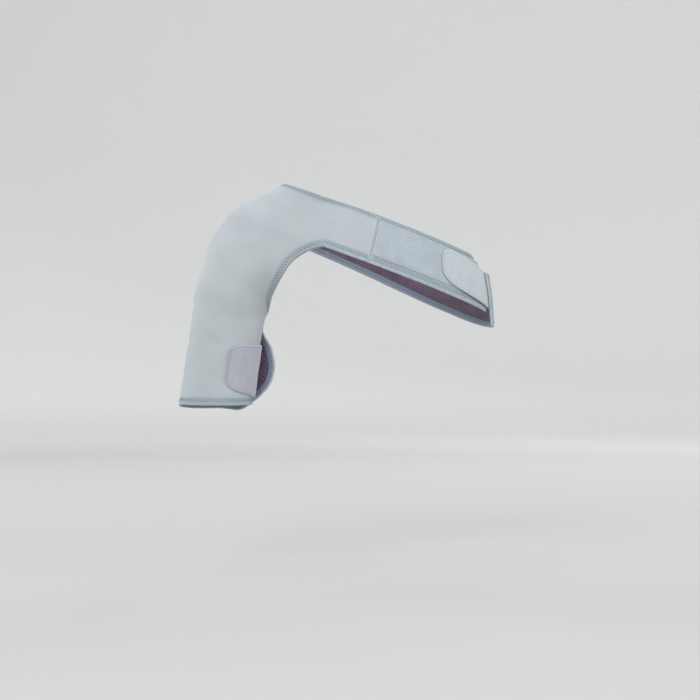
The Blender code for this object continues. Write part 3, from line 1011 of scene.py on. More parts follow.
class Board:
    """A material's nodes, with short calls to add and join them."""

    SHEEN_ROUGHNESS = 0.45

    def __init__(self, name: str) -> None:
        """Starts a material with its shader.

        Args:
            name: Name of the material.
        """
        self.material = bpy.data.materials.new(name)
        self.material.use_nodes = True
        self.tree = self.material.node_tree
        self.shader = self.tree.nodes["Principled BSDF"]

    def node(
        self, kind: str, inputs: dict[str | int, object] | None = None, **settings: object
    ) -> bpy.types.Node:
        """Adds a node; inputs may be numbers, colours or other nodes' outputs.

        Args:
            kind: Blender's name of the node.
            inputs: Values or outputs by input.
            settings: Other settings of the node.

        Returns:
            The new node.
        """
        node = self.tree.nodes.new(kind)
        for name, value in settings.items():
            setattr(node, name, value)
        for name, value in (inputs or {}).items():
            if isinstance(value, bpy.types.NodeSocket):
                self.tree.links.new(value, node.inputs[name])
            else:
                node.inputs[name].default_value = value
        return node

    def math(self, operation: str, first: object, second: object = 0.0) -> bpy.types.NodeSocket:
        """Result of one sum on two numbers."""
        return self.node("ShaderNodeMath", {0: first, 1: second}, operation=operation).outputs[0]

    def noise(
        self, scale: float, detail: float = 2.0, roughness: float = 0.5
    ) -> bpy.types.NodeSocket:
        """Noise over the object's own space, scale in cells to the metre.

        Args:
            scale: Cells to the metre.
            detail: Finer layers.
            roughness: Strength of the finer layers.

        Returns:
            The noise, 0 to 1.
        """
        place = self.node("ShaderNodeTexCoord").outputs["Object"]
        inputs = {"Vector": place, "Scale": scale, "Detail": detail, "Roughness": roughness}
        return self.node("ShaderNodeTexNoise", inputs).outputs["Fac"]

    def span(
        self, value: object, low: float, high: float, to_low: float = 0.0, to_high: float = 1.0
    ) -> bpy.types.NodeSocket:
        """Value carried smoothly from one range to another.

        Args:
            value: Number or output.
            low: Start of its range.
            high: End of its range.
            to_low: What the start becomes.
            to_high: What the end becomes.

        Returns:
            The carried value.
        """
        inputs = {"Value": value, "From Min": low, "From Max": high}
        inputs.update({"To Min": to_low, "To Max": to_high})
        return self.node("ShaderNodeMapRange", inputs, interpolation_type="SMOOTHSTEP").outputs[0]

    def patches(self, mottle: Mottle) -> bpy.types.NodeSocket:
        """Soft patches, 0 to 1."""
        noise = self.noise(mottle.scale, mottle.detail, mottle.roughness)
        return self.span(noise, mottle.low, mottle.high)

    def mix(self, share: object, first: object, second: object) -> bpy.types.NodeSocket:
        """Colour between two colours.

        Args:
            share: 0 for the first, 1 for the second.
            first: Colour or output.
            second: Colour or output.

        Returns:
            The mixed colour.
        """
        node = self.node("ShaderNodeMix", data_type="RGBA")
        for name, value in (("Factor_Float", share), ("A_Color", first), ("B_Color", second)):
            socket = next(s for s in node.inputs if s.identifier == name)
            if isinstance(value, bpy.types.NodeSocket):
                self.tree.links.new(value, socket)
            else:
                socket.default_value = value if name == "Factor_Float" else (*value, 1.0)
        return next(s for s in node.outputs if s.identifier == "Result_Color")

    def bump(
        self, height: object, depth: float, strength: float = 1.0, below: object = None
    ) -> bpy.types.NodeSocket:
        """Surface normal with a relief of that depth in metres.

        Args:
            height: Relief, 0 to 1.
            depth: Metres.
            strength: Share of the relief.
            below: Normal that it is laid over.

        Returns:
            The new normal.
        """
        inputs = {"Height": height, "Distance": depth, "Strength": strength}
        if below is not None:
            inputs["Normal"] = below
        return self.node("ShaderNodeBump", inputs).outputs["Normal"]

    def edge_distance(self) -> bpy.types.NodeSocket:
        """Distance from the cloth's edge, in metres."""
        node = self.node("ShaderNodeAttribute", attribute_name="edge_distance")
        return node.outputs["Fac"]

    def flat_place(self) -> tuple[bpy.types.NodeSocket, bpy.types.NodeSocket]:
        """Place on the flat cloth, across and along, in metres.

        Returns:
            Both places.
        """
        uv = self.node("ShaderNodeUVMap", uv_map="flat_cloth").outputs["UV"]
        parts = self.node("ShaderNodeSeparateXYZ", {"Vector": uv})
        return parts.outputs["X"], parts.outputs["Y"]

    def done(
        self,
        colour: object,
        roughness: object,
        normal: object,
        sheen: float,
        specular: float = 0.28,
    ) -> bpy.types.Material:
        """Joins the last outputs to the shader and gives the material.

        Args:
            colour: Base colour.
            roughness: Roughness.
            normal: Relief, or None.
            sheen: Weight of the sheen.
            specular: Level of the gloss.

        Returns:
            The finished material.
        """
        for name, value in (("Base Color", colour), ("Roughness", roughness), ("Normal", normal)):
            if isinstance(value, bpy.types.NodeSocket):
                self.tree.links.new(value, self.shader.inputs[name])
            elif value is not None:
                self.shader.inputs[name].default_value = value
        self.shader.inputs["Specular IOR Level"].default_value = specular
        self.shader.inputs["Sheen Weight"].default_value = sheen
        self.shader.inputs["Sheen Roughness"].default_value = self.SHEEN_ROUGHNESS
        return self.material


@dataclass(frozen=True)
class KnitFinish:
    """Fine jersey knit bonded to neoprene, with a turned hem along every edge."""

    name: str
    colour: Colour
    shade: Colour
    hem: Colour
    wale: float = 0.00095
    course: float = 0.00070
    sheen: float = 0.30
    clouds: Mottle = Mottle(32.0, 3.0, 0.36, 0.66)
    speckles: Mottle = Mottle(950.0, 2.0, 0.35, 0.70)
    rubs: Mottle = Mottle(140.0, 3.0, 0.42, 0.62)

    def stitches(self, board: Board) -> bpy.types.NodeSocket:
        """Height of the knit's small v-shaped loops, 0 to 1.

        Args:
            board: Nodes of the material.

        Returns:
            The height.
        """
        across, onward = board.flat_place()
        wale = board.math("FRACT", board.math("DIVIDE", across, self.wale))
        off_middle = board.math("ABSOLUTE", board.math("SUBTRACT", wale, 0.5))
        off_middle = board.math("MULTIPLY", off_middle, 2.0)
        course = board.math("DIVIDE", onward, self.course)
        phase = board.math("ADD", course, board.math("MULTIPLY", off_middle, 0.55))
        loop = board.math("SINE", board.math("MULTIPLY", phase, 2 * math.pi))
        ridge = board.math("SUBTRACT", 1.0, board.math("POWER", off_middle, 2.4))
        ridge, loop = board.math("MULTIPLY", ridge, 0.6), board.math("MULTIPLY", loop, 0.2)
        return board.math("ADD", ridge, loop)

    def material(self) -> bpy.types.Material:
        """The finish as a material.

        Returns:
            The new material.
        """
        board = Board(self.name)
        knit = self.stitches(board)
        cloudy = board.math("MULTIPLY", board.patches(self.clouds), 0.24)
        colour = board.mix(cloudy, self.colour, self.shade)
        speckled = board.math("MULTIPLY", board.patches(self.speckles), 0.20)
        colour = board.mix(speckled, colour, self.shade)
        # Painted shade: the knit's grooves between its loops are darkened towards the shade colour
        groove_shade = board.span(knit, 0.05, 0.55, 0.62, 0.0)
        colour = board.mix(groove_shade, colour, tuple(0.86 * c for c in self.shade))
        near_edge = board.span(board.edge_distance(), 0.0070, 0.0130, 0.50, 0.0)
        colour = board.mix(near_edge, colour, self.hem)
        rubbed = board.span(board.edge_distance(), 0.0, 0.0016, 0.35, 0.0)
        worn = board.math("MULTIPLY", rubbed, board.patches(self.rubs))
        colour = board.mix(worn, colour, tuple(min(1.0, 1.25 * c) for c in self.colour))
        roughness = board.span(board.noise(60.0, 2.0), 0.3, 0.7, 0.78, 0.92)
        soft = board.bump(board.noise(110.0, 3.0), depth=0.0012, strength=0.5)
        normal = board.bump(knit, depth=0.00038, below=soft)
        normal = board.bump(board.noise(2600.0, 1.0), depth=0.00012, strength=0.7, below=normal)
        return board.done(colour, roughness, normal, self.sheen)


@dataclass(frozen=True)
class LiningFinish(KnitFinish):
    """Dark lining with rows of small vents, and the face cloth turned in along the edges."""

    clouds: Mottle = Mottle(40.0, 3.0, 0.35, 0.68)
    vent_pitch: float = 0.0042
    vent_size: float = 0.17
    vent_blur: float = 0.2
    row_share: float = 0.62
    # Near black: painted shade inside the vent holes
    vent_shade_colour: Colour = (0.012, 0.012, 0.022)
    turned: float = 0.0078
    turned_step: float = 0.0007

    def vents(self, board: Board) -> bpy.types.NodeSocket:
        """1 inside the small vents, 0 elsewhere.

        Args:
            board: Nodes of the material.

        Returns:
            The vents.
        """
        across, onward = board.flat_place()
        row = board.math("DIVIDE", onward, self.vent_pitch * self.row_share)
        odd = board.math("FLOORED_MODULO", board.math("FLOOR", row), 2.0)
        shift = board.math("MULTIPLY", odd, 0.5)
        column = board.math("ADD", board.math("DIVIDE", across, self.vent_pitch), shift)
        x = board.math("SUBTRACT", board.math("FRACT", column), 0.5)
        y = board.math("SUBTRACT", board.math("FRACT", row), 0.5)
        y = board.math("MULTIPLY", y, self.row_share)
        squares = board.math("ADD", board.math("MULTIPLY", x, x), board.math("MULTIPLY", y, y))
        distance = board.math("SQRT", squares)
        inner, outer = 1.0 - self.vent_blur, 1.0 + self.vent_blur
        return board.span(distance, self.vent_size * inner, self.vent_size * outer, 1.0, 0.0)

    def material(self) -> bpy.types.Material:
        """The finish as a material.

        Returns:
            The new material.
        """
        board = Board(self.name)
        knit = self.stitches(board)
        vents = self.vents(board)
        end = self.turned + self.turned_step
        turned = board.span(board.edge_distance(), self.turned, end, 1.0, 0.0)
        open_vents = board.math("MULTIPLY", vents, board.math("SUBTRACT", 1.0, turned))
        colour = board.mix(board.patches(self.clouds), self.colour, self.shade)
        # Painted shade: the knit's grooves are darkened towards the shade colour
        colour = board.mix(board.span(knit, 0.05, 0.55, 0.30, 0.0), colour, self.shade)
        colour = board.mix(turned, colour, self.hem)
        # Painted shade: the open vents are painted near black for the shade inside the holes
        colour = board.mix(open_vents, colour, self.vent_shade_colour)
        soft = board.bump(board.noise(120.0, 3.0), depth=0.0010, strength=0.5)
        step = board.bump(turned, depth=0.0006, below=soft)
        normal = board.bump(knit, depth=0.00020, strength=0.8, below=step)
        closed = board.math("SUBTRACT", 1.0, open_vents)
        normal = board.bump(closed, depth=0.0006, below=normal)
        return board.done(colour, roughness=0.9, normal=normal, sheen=self.sheen)


@dataclass(frozen=True)
class PileFinish:
    """Brushed loop pile or the matt face of a hook tab."""

    name: str
    colour: Colour
    shade: Colour
    grain: float
    depth: float
    sheen: float = 0.5
    swirls: Mottle = Mottle(75.0, 4.0, 0.35, 0.65, 0.6)

    def material(self) -> bpy.types.Material:
        """The finish as a material.

        Returns:
            The new material.
        """
        board = Board(self.name)
        tufts = board.noise(self.grain, 3.0, 0.6)
        swirl = board.patches(self.swirls)
        colour = board.mix(board.math("MULTIPLY", swirl, 0.5), self.colour, self.shade)
        # Painted shade: the hollows between the tufts are darkened
        hollow_shade = board.span(tufts, 0.30, 0.55, 0.75, 0.0)
        colour = board.mix(hollow_shade, colour, tuple(0.80 * c for c in self.shade))
        # Painted highlight: a thin band along the cut edge is made lighter, as where light catches
        # the rim
        edge = board.span(board.edge_distance(), 0.0003, 0.0016, 0.45, 0.0)
        colour = board.mix(edge, colour, tuple(1.22 * c for c in self.colour))
        soft = board.bump(board.noise(90.0, 3.0), depth=0.0010, strength=0.4)
        normal = board.bump(tufts, self.depth, below=soft)
        roughness = board.span(swirl, 0.0, 1.0, 0.84, 0.96)
        return board.done(colour, roughness, normal, self.sheen, specular=0.2)


@dataclass(frozen=True)
class ThreadFinish:
    """Twisted sewing thread."""

    name: str
    colour: Colour
    shade: Colour
    twists: float = 3800.0

    def material(self) -> bpy.types.Material:
        """The finish as a material.

        Returns:
            The new material.
        """
        board = Board(self.name)
        twist = board.noise(self.twists, 1.0)
        colour = board.mix(board.span(twist, 0.35, 0.65), self.colour, self.shade)
        normal = board.bump(twist, depth=0.00010, strength=0.8)
        return board.done(colour, roughness=0.7, normal=normal, sheen=0.2)


@dataclass(frozen=True)
class FinishSet:
    """Every finish of the brace, made once."""

    face: bpy.types.Material
    lining: bpy.types.Material
    plush: bpy.types.Material
    tab: bpy.types.Material
    arm_tab: bpy.types.Material
    hooks: bpy.types.Material
    thread: bpy.types.Material
    pale_thread: bpy.types.Material
    hole: bpy.types.Material

    @classmethod
    def make(cls) -> "FinishSet":
        """Makes the materials from their named colours.

        Returns:
            The set.
        """
        face = KnitFinish(
            "knit_neoprene", (0.505, 0.545, 0.568), (0.395, 0.438, 0.465), (0.315, 0.382, 0.445))
        lining = LiningFinish(
            "vented_lining", (0.192, 0.136, 0.196), (0.134, 0.095, 0.140), (0.255, 0.290, 0.395))
        plush = PileFinish(
            "loop_plush", (0.400, 0.447, 0.487), (0.325, 0.370, 0.412),
            grain=1150.0, depth=0.00070)
        tab = PileFinish(
            "hook_tab_face", (0.466, 0.508, 0.532), (0.400, 0.440, 0.470),
            grain=1900.0, depth=0.00030)
        arm = PileFinish(
            "arm_tab_face", (0.390, 0.396, 0.452), (0.330, 0.334, 0.396),
            grain=1900.0, depth=0.00030)
        hooks = PileFinish(
            "hook_pile", (0.235, 0.270, 0.330), (0.150, 0.175, 0.230),
            grain=1300.0, depth=0.00060, sheen=0.2)
        thread = ThreadFinish("teal_thread", (0.285, 0.365, 0.410), (0.215, 0.295, 0.345))
        pale = ThreadFinish("pale_thread", (0.385, 0.425, 0.450), (0.320, 0.360, 0.390))
        hole = ThreadFinish("needle_hole_shade", (0.055, 0.105, 0.140), (0.035, 0.075, 0.105))
        made = (face, lining, plush, tab, arm, hooks, thread, pale, hole)
        return cls(*(finish.material() for finish in made))


def place(piece: bpy.types.Object, slot: Slot, node: str | None = None) -> None:
    """Rides a piece on the brace and hides the plain solid that it stands for.

    Args:
        piece: The piece.
        slot: Material slot of the piece; not used.
        node: Plain solid that it stands for, if any.
    """
    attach(piece, "root")
    if node:
        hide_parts(node)
    LOG.info("%s: %d faces", piece.name, len(piece.data.polygons))


def put_together(
    shell: ClothShell,
    faces: tuple[bpy.types.Material, bpy.types.Material],
    slot: Slot,
    node: str,
    sewing: Sewing,
    threads: tuple[bpy.types.Material, bpy.types.Material],
) -> ClothShell:
    """Makes one cloth with its sewing, and dresses both.

    Args:
        shell: The cloth.
        faces: Finish of its outer face and of its inner face.
        slot: Material slot of the piece.
        node: Plain solid that it stands for.
        sewing: Its threads and needle holes.
        threads: Finish of the thread and of the needle holes.

    Returns:
        The cloth, for the seams that join it to others.
    """
    piece = shell.build(list(faces))
    place(piece, slot, node)
    for extra in sewing.build(*threads):
        place(extra, slot)
    return shell


@dataclass(frozen=True)
class BorderRow:
    """One row of fine stitches along the whole border of a patch or tab."""

    inset: float
    pitch: float
    hole_radius: float = 0.0003
    thread: Thread = FINE_THREAD

    def sewn(self, name: str, shell: ClothShell) -> Sewing:
        """The row on one cloth.

        Args:
            name: Name of the stitching.
            shell: The cloth.

        Returns:
            The sewing.
        """
        sewing = Sewing(name, self.thread, self.hole_radius)
        for run in shell.runs:
            sewing.sew(shell.needle_line(run, (self.inset,), self.pitch, Side.OUTER))
        return sewing


@dataclass(frozen=True)
class TipSpacing:
    """Shares of a tab's length, close together at its rounded tip."""

    tip: float
    power: float
    start: float
    count: int
    tip_count: int = 15

    def shares(self) -> Array:
        """Rising shares from 0 to 1."""
        tip = np.linspace(0.0, self.tip, self.tip_count) ** self.power
        return np.concatenate([tip, np.linspace(self.start, 1.0, self.count)[1:]])


@dataclass
class ShoulderSleeve:
    """Shoulder cap with a lead to each strap, arm sleeve, slit and rear flap."""

    loop: ChestLoop
    arm: ArmSpace
    seat: Array
    armhole_depth: float = 0.073
    length: float = 0.253
    rear_hem_drop: float = 0.006
    armpit_ring_drop: float = 0.016
    slit_height: float = 0.106
    slit_angle: float = 3.0
    slit_opening: float = 8.0
    flap_bend_radius: float = 0.045
    crease_width: float = 0.0034
    crease_depth: float = 0.0008
    crease_fade: float = 0.7
    creases: tuple[tuple[float, float, float, float], ...] = (
        (18.0, -0.134, 78.0, -0.112),
        (14.0, -0.153, 62.0, -0.147),
        (-18.0, -0.136, -80.0, -0.114),
        (-16.0, -0.155, -66.0, -0.149),
    )
    flap_corner: float = 0.032
    flap_drop: float = 0.009
    slit_corner: float = 0.011
    dome_facets: int = 38
    cap_rows: int = 11
    smoothing_passes: int = 6
    round_arm: float = 0.262
    cap_drop: float = 0.125
    seam_reach: float = 0.09
    opening_columns: float = 4.0
    opening_rise: float = 3.0
    drop_from: float = 0.78
    flap_steps: int = 201
    closed_gap: float = 0.00006
    armhole_edge: tuple[Place, ...] = (
        (0.800, 0.940, 0.960),
        (0.665, 0.880, 0.910),
        (0.520, 0.820, 0.840),
        (0.335, 0.710, 0.700),
        (0.180, 0.600, 0.550),
        (0.070, 0.500, 0.400),
        (0.000, 0.420, 0.260),
        (0.000, 0.330, 0.140),
        (0.000, 0.220, 0.055),
        (0.000, 0.110, 0.014),
        (0.000, 0.000, 0.000),
    )
    flap: tuple[tuple[float, float], ...] = (
        (0.00, 0.0),
        (0.12, 22.0),
        (0.27, 43.0),
        (0.40, 50.0),
        (0.55, 52.5),
        (0.70, 50.5),
        (0.84, 46.0),
        (0.94, 40.0),
        (1.00, 34.0),
    )

    @property
    def armhole_floor(self) -> float:
        """Height of the armpit."""
        corner = self.loop.point(360.0 - self.loop.corner_angle, self.loop.width)
        return float(corner[2]) - self.armhole_depth

    def hem_height(self, angle: Array) -> Array:
        """Height of the lower edge, which is lower behind the inner side."""
        behind = np.clip(-np.sin(np.radians(angle)), 0.0, 1.0)
        return -self.length - self.rear_hem_drop * behind

    def flap_opening(self, height: Array) -> Array:
        """Degrees round the arm over which the flap stands off, at a height.

        Args:
            height: Heights in metres.

        Returns:
            Degrees.
        """
        tall = self.slit_height + self.rear_hem_drop
        share = (-self.length + self.slit_height - height) / tall
        shares, openings = zip(*self.flap)
        fine = np.linspace(0.0, 1.0, self.flap_steps)
        places = np.interp(fine, shares, np.arange(len(shares)))
        smooth = refined(np.array(openings)[:, None, None], places, 0)
        return np.interp(share, fine, smooth[:, 0, 0])

    def edge_below(self, corner: Array) -> Array:
        """Armhole edge from one of the strap's corners to the armpit.

        Args:
            corner: The strap's lower corner.

        Returns:
            Points from the corner down.
        """
        armpit = self.arm.point(0.0, self.armhole_floor)
        below = armpit + (corner - armpit) * np.array(self.armhole_edge)
        return np.concatenate([corner[None], self.arm.form.settle(below)])

    def evenly(self, curve: Array, count: int) -> Array:
        """Points of the form at even spacing along a curve."""
        travel = travelled(curve)
        return self.arm.form.settle(along(curve, travel, np.linspace(0.0, travel[-1], count + 1)))

    def ring(self, angles: Array) -> Array:
        """Ring round the arm through the armpit, lower at the outer side.

        Args:
            angles: Degrees round the arm.

        Returns:
            Closed ring of points.
        """
        drop = self.armpit_ring_drop * np.sqrt(np.abs(np.sin(np.radians(angles / 2))))
        points = self.arm.point(angles, self.armhole_floor - drop)
        points[-1] = points[0]
        return points

    def coarse_cap(self, dome_edge: Array) -> Array:
        """Cap between the yoke's lower edge, both armhole edges and the armpit ring.

        Args:
            dome_edge: Yoke's lower edge, from front to back.

        Returns:
            Rows by columns of points.
        """
        ring = self.ring(np.linspace(0.0, 360.0, self.dome_facets + 1))
        front = self.evenly(self.edge_below(dome_edge[0]), self.cap_rows)
        back = self.evenly(self.edge_below(dome_edge[-1]), self.cap_rows)
        top = self.arm.unrolled(dome_edge, 0.0)[None]
        bottom = self.arm.unrolled(ring, 0.0)[None]
        bottom[0, :, 0] = np.linspace(0.0, 360.0, self.dome_facets + 1)
        left = self.arm.unrolled(front, -180.0)[:, None]
        right = self.arm.unrolled(back, 180.0)[:, None]
        down = np.linspace(0.0, 1.0, self.cap_rows + 1)[:, None, None]
        across = np.linspace(0.0, 1.0, self.dome_facets + 1)[None, :, None]
        places = (1 - down) * top + down * bottom + (1 - across) * left + across * right
        places -= (1 - down) * ((1 - across) * top[:, :1] + across * top[:, -1:])
        places -= down * ((1 - across) * bottom[:, :1] + across * bottom[:, -1:])
        grid = self.arm.rolled(places)
        grid[0], grid[-1], grid[:, 0], grid[:, -1] = dome_edge, ring, front, back
        for _ in range(self.smoothing_passes):
            around = grid[1:-1, :-2] + grid[1:-1, 2:] + grid[:-2, 1:-1] + grid[2:, 1:-1]
            grid[1:-1, 1:-1] = self.arm.form.settle(around / 4, rounds=2)
        return grid

    def yoke(self, columns: Array) -> tuple[ClothGrid, slice]:
        """Band from the back seam over the shoulder to the front seam, and its dome columns.

        Args:
            columns: Shares round the dome, from front to back.

        Returns:
            The grid, and which of its columns belong to the dome.
        """
        loop, corner = self.loop, self.loop.corner_angle
        seam = loop.seam_angle + math.degrees(SEAM_GAP / self.seam_reach)
        lead_length = loop.length_at(corner) - loop.length_at(loop.seam_angle)
        lead_facets = round(lead_length / loop.facet)
        dome_angles = loop.even_angles(corner, 360.0 - corner, self.dome_facets)
        back = loop.even_angles(seam, corner, lead_facets)
        front = loop.even_angles(360.0 - corner, 360.0 - seam, lead_facets)
        dome_places = (1.0 - columns[::-1]) * self.dome_facets
        dome = np.interp(dome_places, np.arange(self.dome_facets + 1), dome_angles)
        back_places = graded(lead_length, True, False) * lead_facets
        back = np.interp(back_places, np.arange(lead_facets + 1), back)
        front_places = graded(lead_length, False, True) * lead_facets
        front = np.interp(front_places, np.arange(lead_facets + 1), front)
        angles = np.concatenate([back, dome[1:], front[1:]])
        drop = loop.width * (1.0 - graded(loop.width))
        points = loop.point(loop.slanted(angles[None, :], drop[:, None]), drop[:, None])
        lead = lead_length * back_places / lead_facets
        across = np.concatenate([
            self.round_arm + lead_length - lead,
            self.round_arm * columns[::-1][1:],
            -lead_length * front_places[1:] / lead_facets,
        ])
        upward = self.cap_drop + loop.width - drop[:, None]
        flat = np.stack(np.broadcast_arrays(across[None, :], upward), -1)
        first = len(back) - 1
        return ClothGrid(points, flat), slice(first, first + len(dome))

    def cap(self, dome_edge: Array, columns: Array) -> ClothGrid:
        """Fine grid of the shoulder cap, its columns from front to back.

        Args:
            dome_edge: Yoke's lower edge, from front to back.
            columns: Shares round the dome.

        Returns:
            The grid.
        """
        coarse_angles = self.loop.even_angles(
            self.loop.corner_angle, 360.0 - self.loop.corner_angle, self.dome_facets)
        coarse = self.coarse_cap(self.loop.point(coarse_angles, self.loop.width)[::-1])
        down = graded(self.cap_drop, False, False)
        points = refined(coarse, down * self.cap_rows, 0)
        points = self.arm.form.settle(refined(points, columns * self.dome_facets, 1), rounds=3)
        points[0], points[-1] = dome_edge, self.ring(360.0 * columns)
        points[-1, -1] = points[-1, 0]
        flat = np.stack(np.broadcast_arrays(
            self.round_arm * columns[None, :], self.cap_drop * (1.0 - down[:, None])), -1)
        return ClothGrid(points, flat)

    def round_corner(self, across: Array, down: Array, radius: float) -> tuple[Array, Array]:
        """Moves places near a square corner so that its outline is rounded.

        Args:
            across: Metres from the upright edge.
            down: Metres from the lower edge.
            radius: Radius of the corner.

        Returns:
            The moved distances from both edges.
        """
        a = np.clip(1.0 - across / radius, 0.0, None)
        b = np.clip(1.0 - down / radius, 0.0, None)
        pull_a = a * np.sqrt(1.0 - np.minimum(b, 1.0) ** 2 / 2)
        pull_b = b * np.sqrt(1.0 - np.minimum(a, 1.0) ** 2 / 2)
        moved_a = np.where(a > 0, radius * (1.0 - pull_a), across)
        return moved_a, np.where(b > 0, radius * (1.0 - pull_b), down)

    def tube(self, columns: Array) -> ClothGrid:
        """Fine grid of the tube from the armpit ring to the hem, open at the slit.

        Args:
            columns: Shares round the arm.

        Returns:
            The grid.
        """
        ring, ring_columns = self.ring(360.0 * columns), columns
        tall = self.length + float(ring[:, 2].mean())
        rows = graded(tall, False, True)[:, None]
        from_flap = self.round_arm * (1.0 - columns[None, :])
        from_flap, above = self.round_corner(from_flap, tall * (1.0 - rows), self.flap_corner)
        from_slit, above = self.round_corner(self.round_arm - from_flap, above, self.slit_corner)
        columns, down = from_slit / self.round_arm, 1.0 - above / tall
        hem_angles = self.slit_angle + 360.0 * columns
        angles = 360.0 * columns + self.slit_angle * down
        top = np.interp(columns, ring_columns, ring[:, 2])
        heights = top + (self.hem_height(hem_angles) - top) * down
        beside_slit = 1.0 - columns * self.dome_facets / self.opening_columns
        beside_slit = np.clip(beside_slit, 0.0, 1.0)
        below_top = (self.slit_height - self.length - heights) / self.slit_height
        angles = angles + self.slit_opening * beside_slit * ease(self.opening_rise * below_top)
        on_flap = ease((columns - self.drop_from) / (1.0 - self.drop_from))
        heights = heights - self.flap_drop * on_flap * ease(below_top)
        points = self.arm.point(angles, heights)
        points[0] = ring
        rear = columns > 0.5
        around = self.arm.angle_of(points)
        around = np.where(rear & (around < 90.0), around + 360.0, around)
        around[:, -1] = np.maximum(around[:, -1], 270.0)
        past_bend = around - 360.0 - self.slit_angle + self.flap_opening(heights)
        bend = np.radians(np.maximum(past_bend, 0.0))
        lift = np.where(rear, self.flap_bend_radius * (1.0 / np.cos(bend) - 1.0), 0.0)
        points = points + self.arm.outward(around) * lift[..., None]
        together = np.linalg.norm(points[:, -1] - points[:, 0], axis=1) < self.closed_gap
        points[together, -1] = points[together, 0]
        flat = np.stack(np.broadcast_arrays(self.round_arm * columns, -tall * down), -1)
        return ClothGrid(points, flat)

    def crease_sink(self, points: Array) -> Array:
        """Depth of the soft creases that run out from the armpit, at points of the cloth.

        Args:
            points: Places in metres, any number of rows.

        Returns:
            Metres inwards.
        """
        radius = self.arm.form.upper_arm.end_radius
        around = np.radians((self.arm.angle_of(points) + 180.0) % 360.0 - 180.0) * radius
        places = np.stack([around, points[..., 2]], -1)
        sink = np.zeros(points.shape[:-1])
        for start_angle, start_height, end_angle, end_height in self.creases:
            start = np.array((math.radians(start_angle) * radius, start_height))
            run = np.array((math.radians(end_angle) * radius, end_height)) - start
            share = np.clip((places - start) @ run / (run @ run), 0.0, 1.0)
            gap = np.linalg.norm(places - start - share[..., None] * run, axis=-1)
            profile = np.exp(-(gap / self.crease_width) ** 2)
            sink += self.crease_depth * (1.0 - share) ** self.crease_fade * profile
        return sink

    def waved(self, grid: ClothGrid) -> ClothGrid:
        """Grid with the cloth's soft waves and creases.

        Args:
            grid: Grid on the worn form.

        Returns:
            Grid in the brace's own frame.
        """
        rise = self.arm.form.waves(grid.points) - self.crease_sink(grid.points)
        points = grid.points + self.arm.form.normal(grid.points) * rise[..., None]
        return ClothGrid(points - self.seat, grid.flat)

    def shell(self) -> ClothShell:
        """The sleeve's cloth.

        Returns:
            The cloth, not yet an object.
        """
        columns = graded(self.round_arm)
        yoke, dome = self.yoke(columns)
        cap = self.cap(yoke.points[0, dome][::-1], columns)
        grids = [self.waved(grid) for grid in (yoke, cap, self.tube(columns))]
        seams = []
        for angle in (360.0 - self.loop.seam_angle, self.loop.seam_angle):
            seams.append(tuple(self.loop.point(angle, self.loop.width / 2) - self.seat))
        return ClothShell("shoulder_sleeve_cloth", grids, NEOPRENE, butt_edges=tuple(seams))

    def sewing(self, shell: ClothShell) -> Sewing:
        """Zigzag along every hemmed edge, outside and inside.

        Args:
            shell: The sleeve's cloth.

        Returns:
            The sewing.
        """
        sewing = Sewing("sleeve")
        neck = shell.run_near(tuple(self.loop.point(180.0, 0.0) - self.seat))
        for run in shell.hems:
            rows = NECK_ROWS if run is neck else HEM_ROWS
            for side in Side:
                sewing.sew(shell.needle_line(run, rows, ZIGZAG_PITCH, side))
        return sewing

    def build(self, finishes: FinishSet) -> ClothShell:
        """Makes and dresses the sleeve.

        Args:
            finishes: Finishes of the brace.

        Returns:
            The sleeve's cloth.
        """
        shell = self.shell()
        return put_together(
            shell, (finishes.face, finishes.lining), Slot.SLEEVE, "shoulder_sleeve",
            self.sewing(shell), (finishes.thread, finishes.hole))


@dataclass
class StrapPiece:
    """A length of the chest loop, or a layer on it, with a top edge and a bottom edge."""

    loop: ChestLoop
    seat: Array

    def grid(
        self,
        lengths: Array,
        shares: Array,
        top: Array | float,
        bottom: Array | float,
        lift: Array | float,
    ) -> ClothGrid:
        """Grid on the loop, from its lower edge up.

        Args:
            lengths: Lengths along the strap from the front seam.
            shares: Shares of the way from the lower edge to the upper.
            top: Drop of the upper edge at each length.
            bottom: Drop of the lower edge at each length.
            lift: Height of the layer's inner face above the form.

        Returns:
            The grid in the row's frame.
        """
        share = shares[:, None]
        drop = bottom + (top - bottom) * share
        points = self.loop.point(self.loop.slanted(self.loop.angle_at(lengths), drop), drop)
        points = self.loop.form.lifted(points, lift) - self.seat
        return ClothGrid(points, laid_flat(points))

    def spot(self, length: float, drop: float) -> Place:
        """One place on the loop."""
        point = self.loop.point(self.loop.angle_at(np.array([length])), drop)
        return tuple((self.loop.form.lifted(point, 0.0) - self.seat)[0])

    def zigzag(self, name: str, shell: ClothShell, middle: float, droop: float = 0.0) -> Sewing:
        """Zigzag along a strap's upper and lower hem, outside and inside.

        Args:
            name: Name of the stitching.
            shell: The strap's cloth.
            middle: Length along the loop of the strap's middle.
            droop: Drop of the strap there.

        Returns:
            The sewing.
        """
        sewing = Sewing(name)
        for drop, rows in ((0.0, NECK_ROWS), (self.loop.width, HEM_ROWS)):
            run = shell.run_near(self.spot(middle, drop + droop))
            for side in Side:
                sewing.sew(shell.needle_line(run, rows, ZIGZAG_PITCH, side))
        return sewing


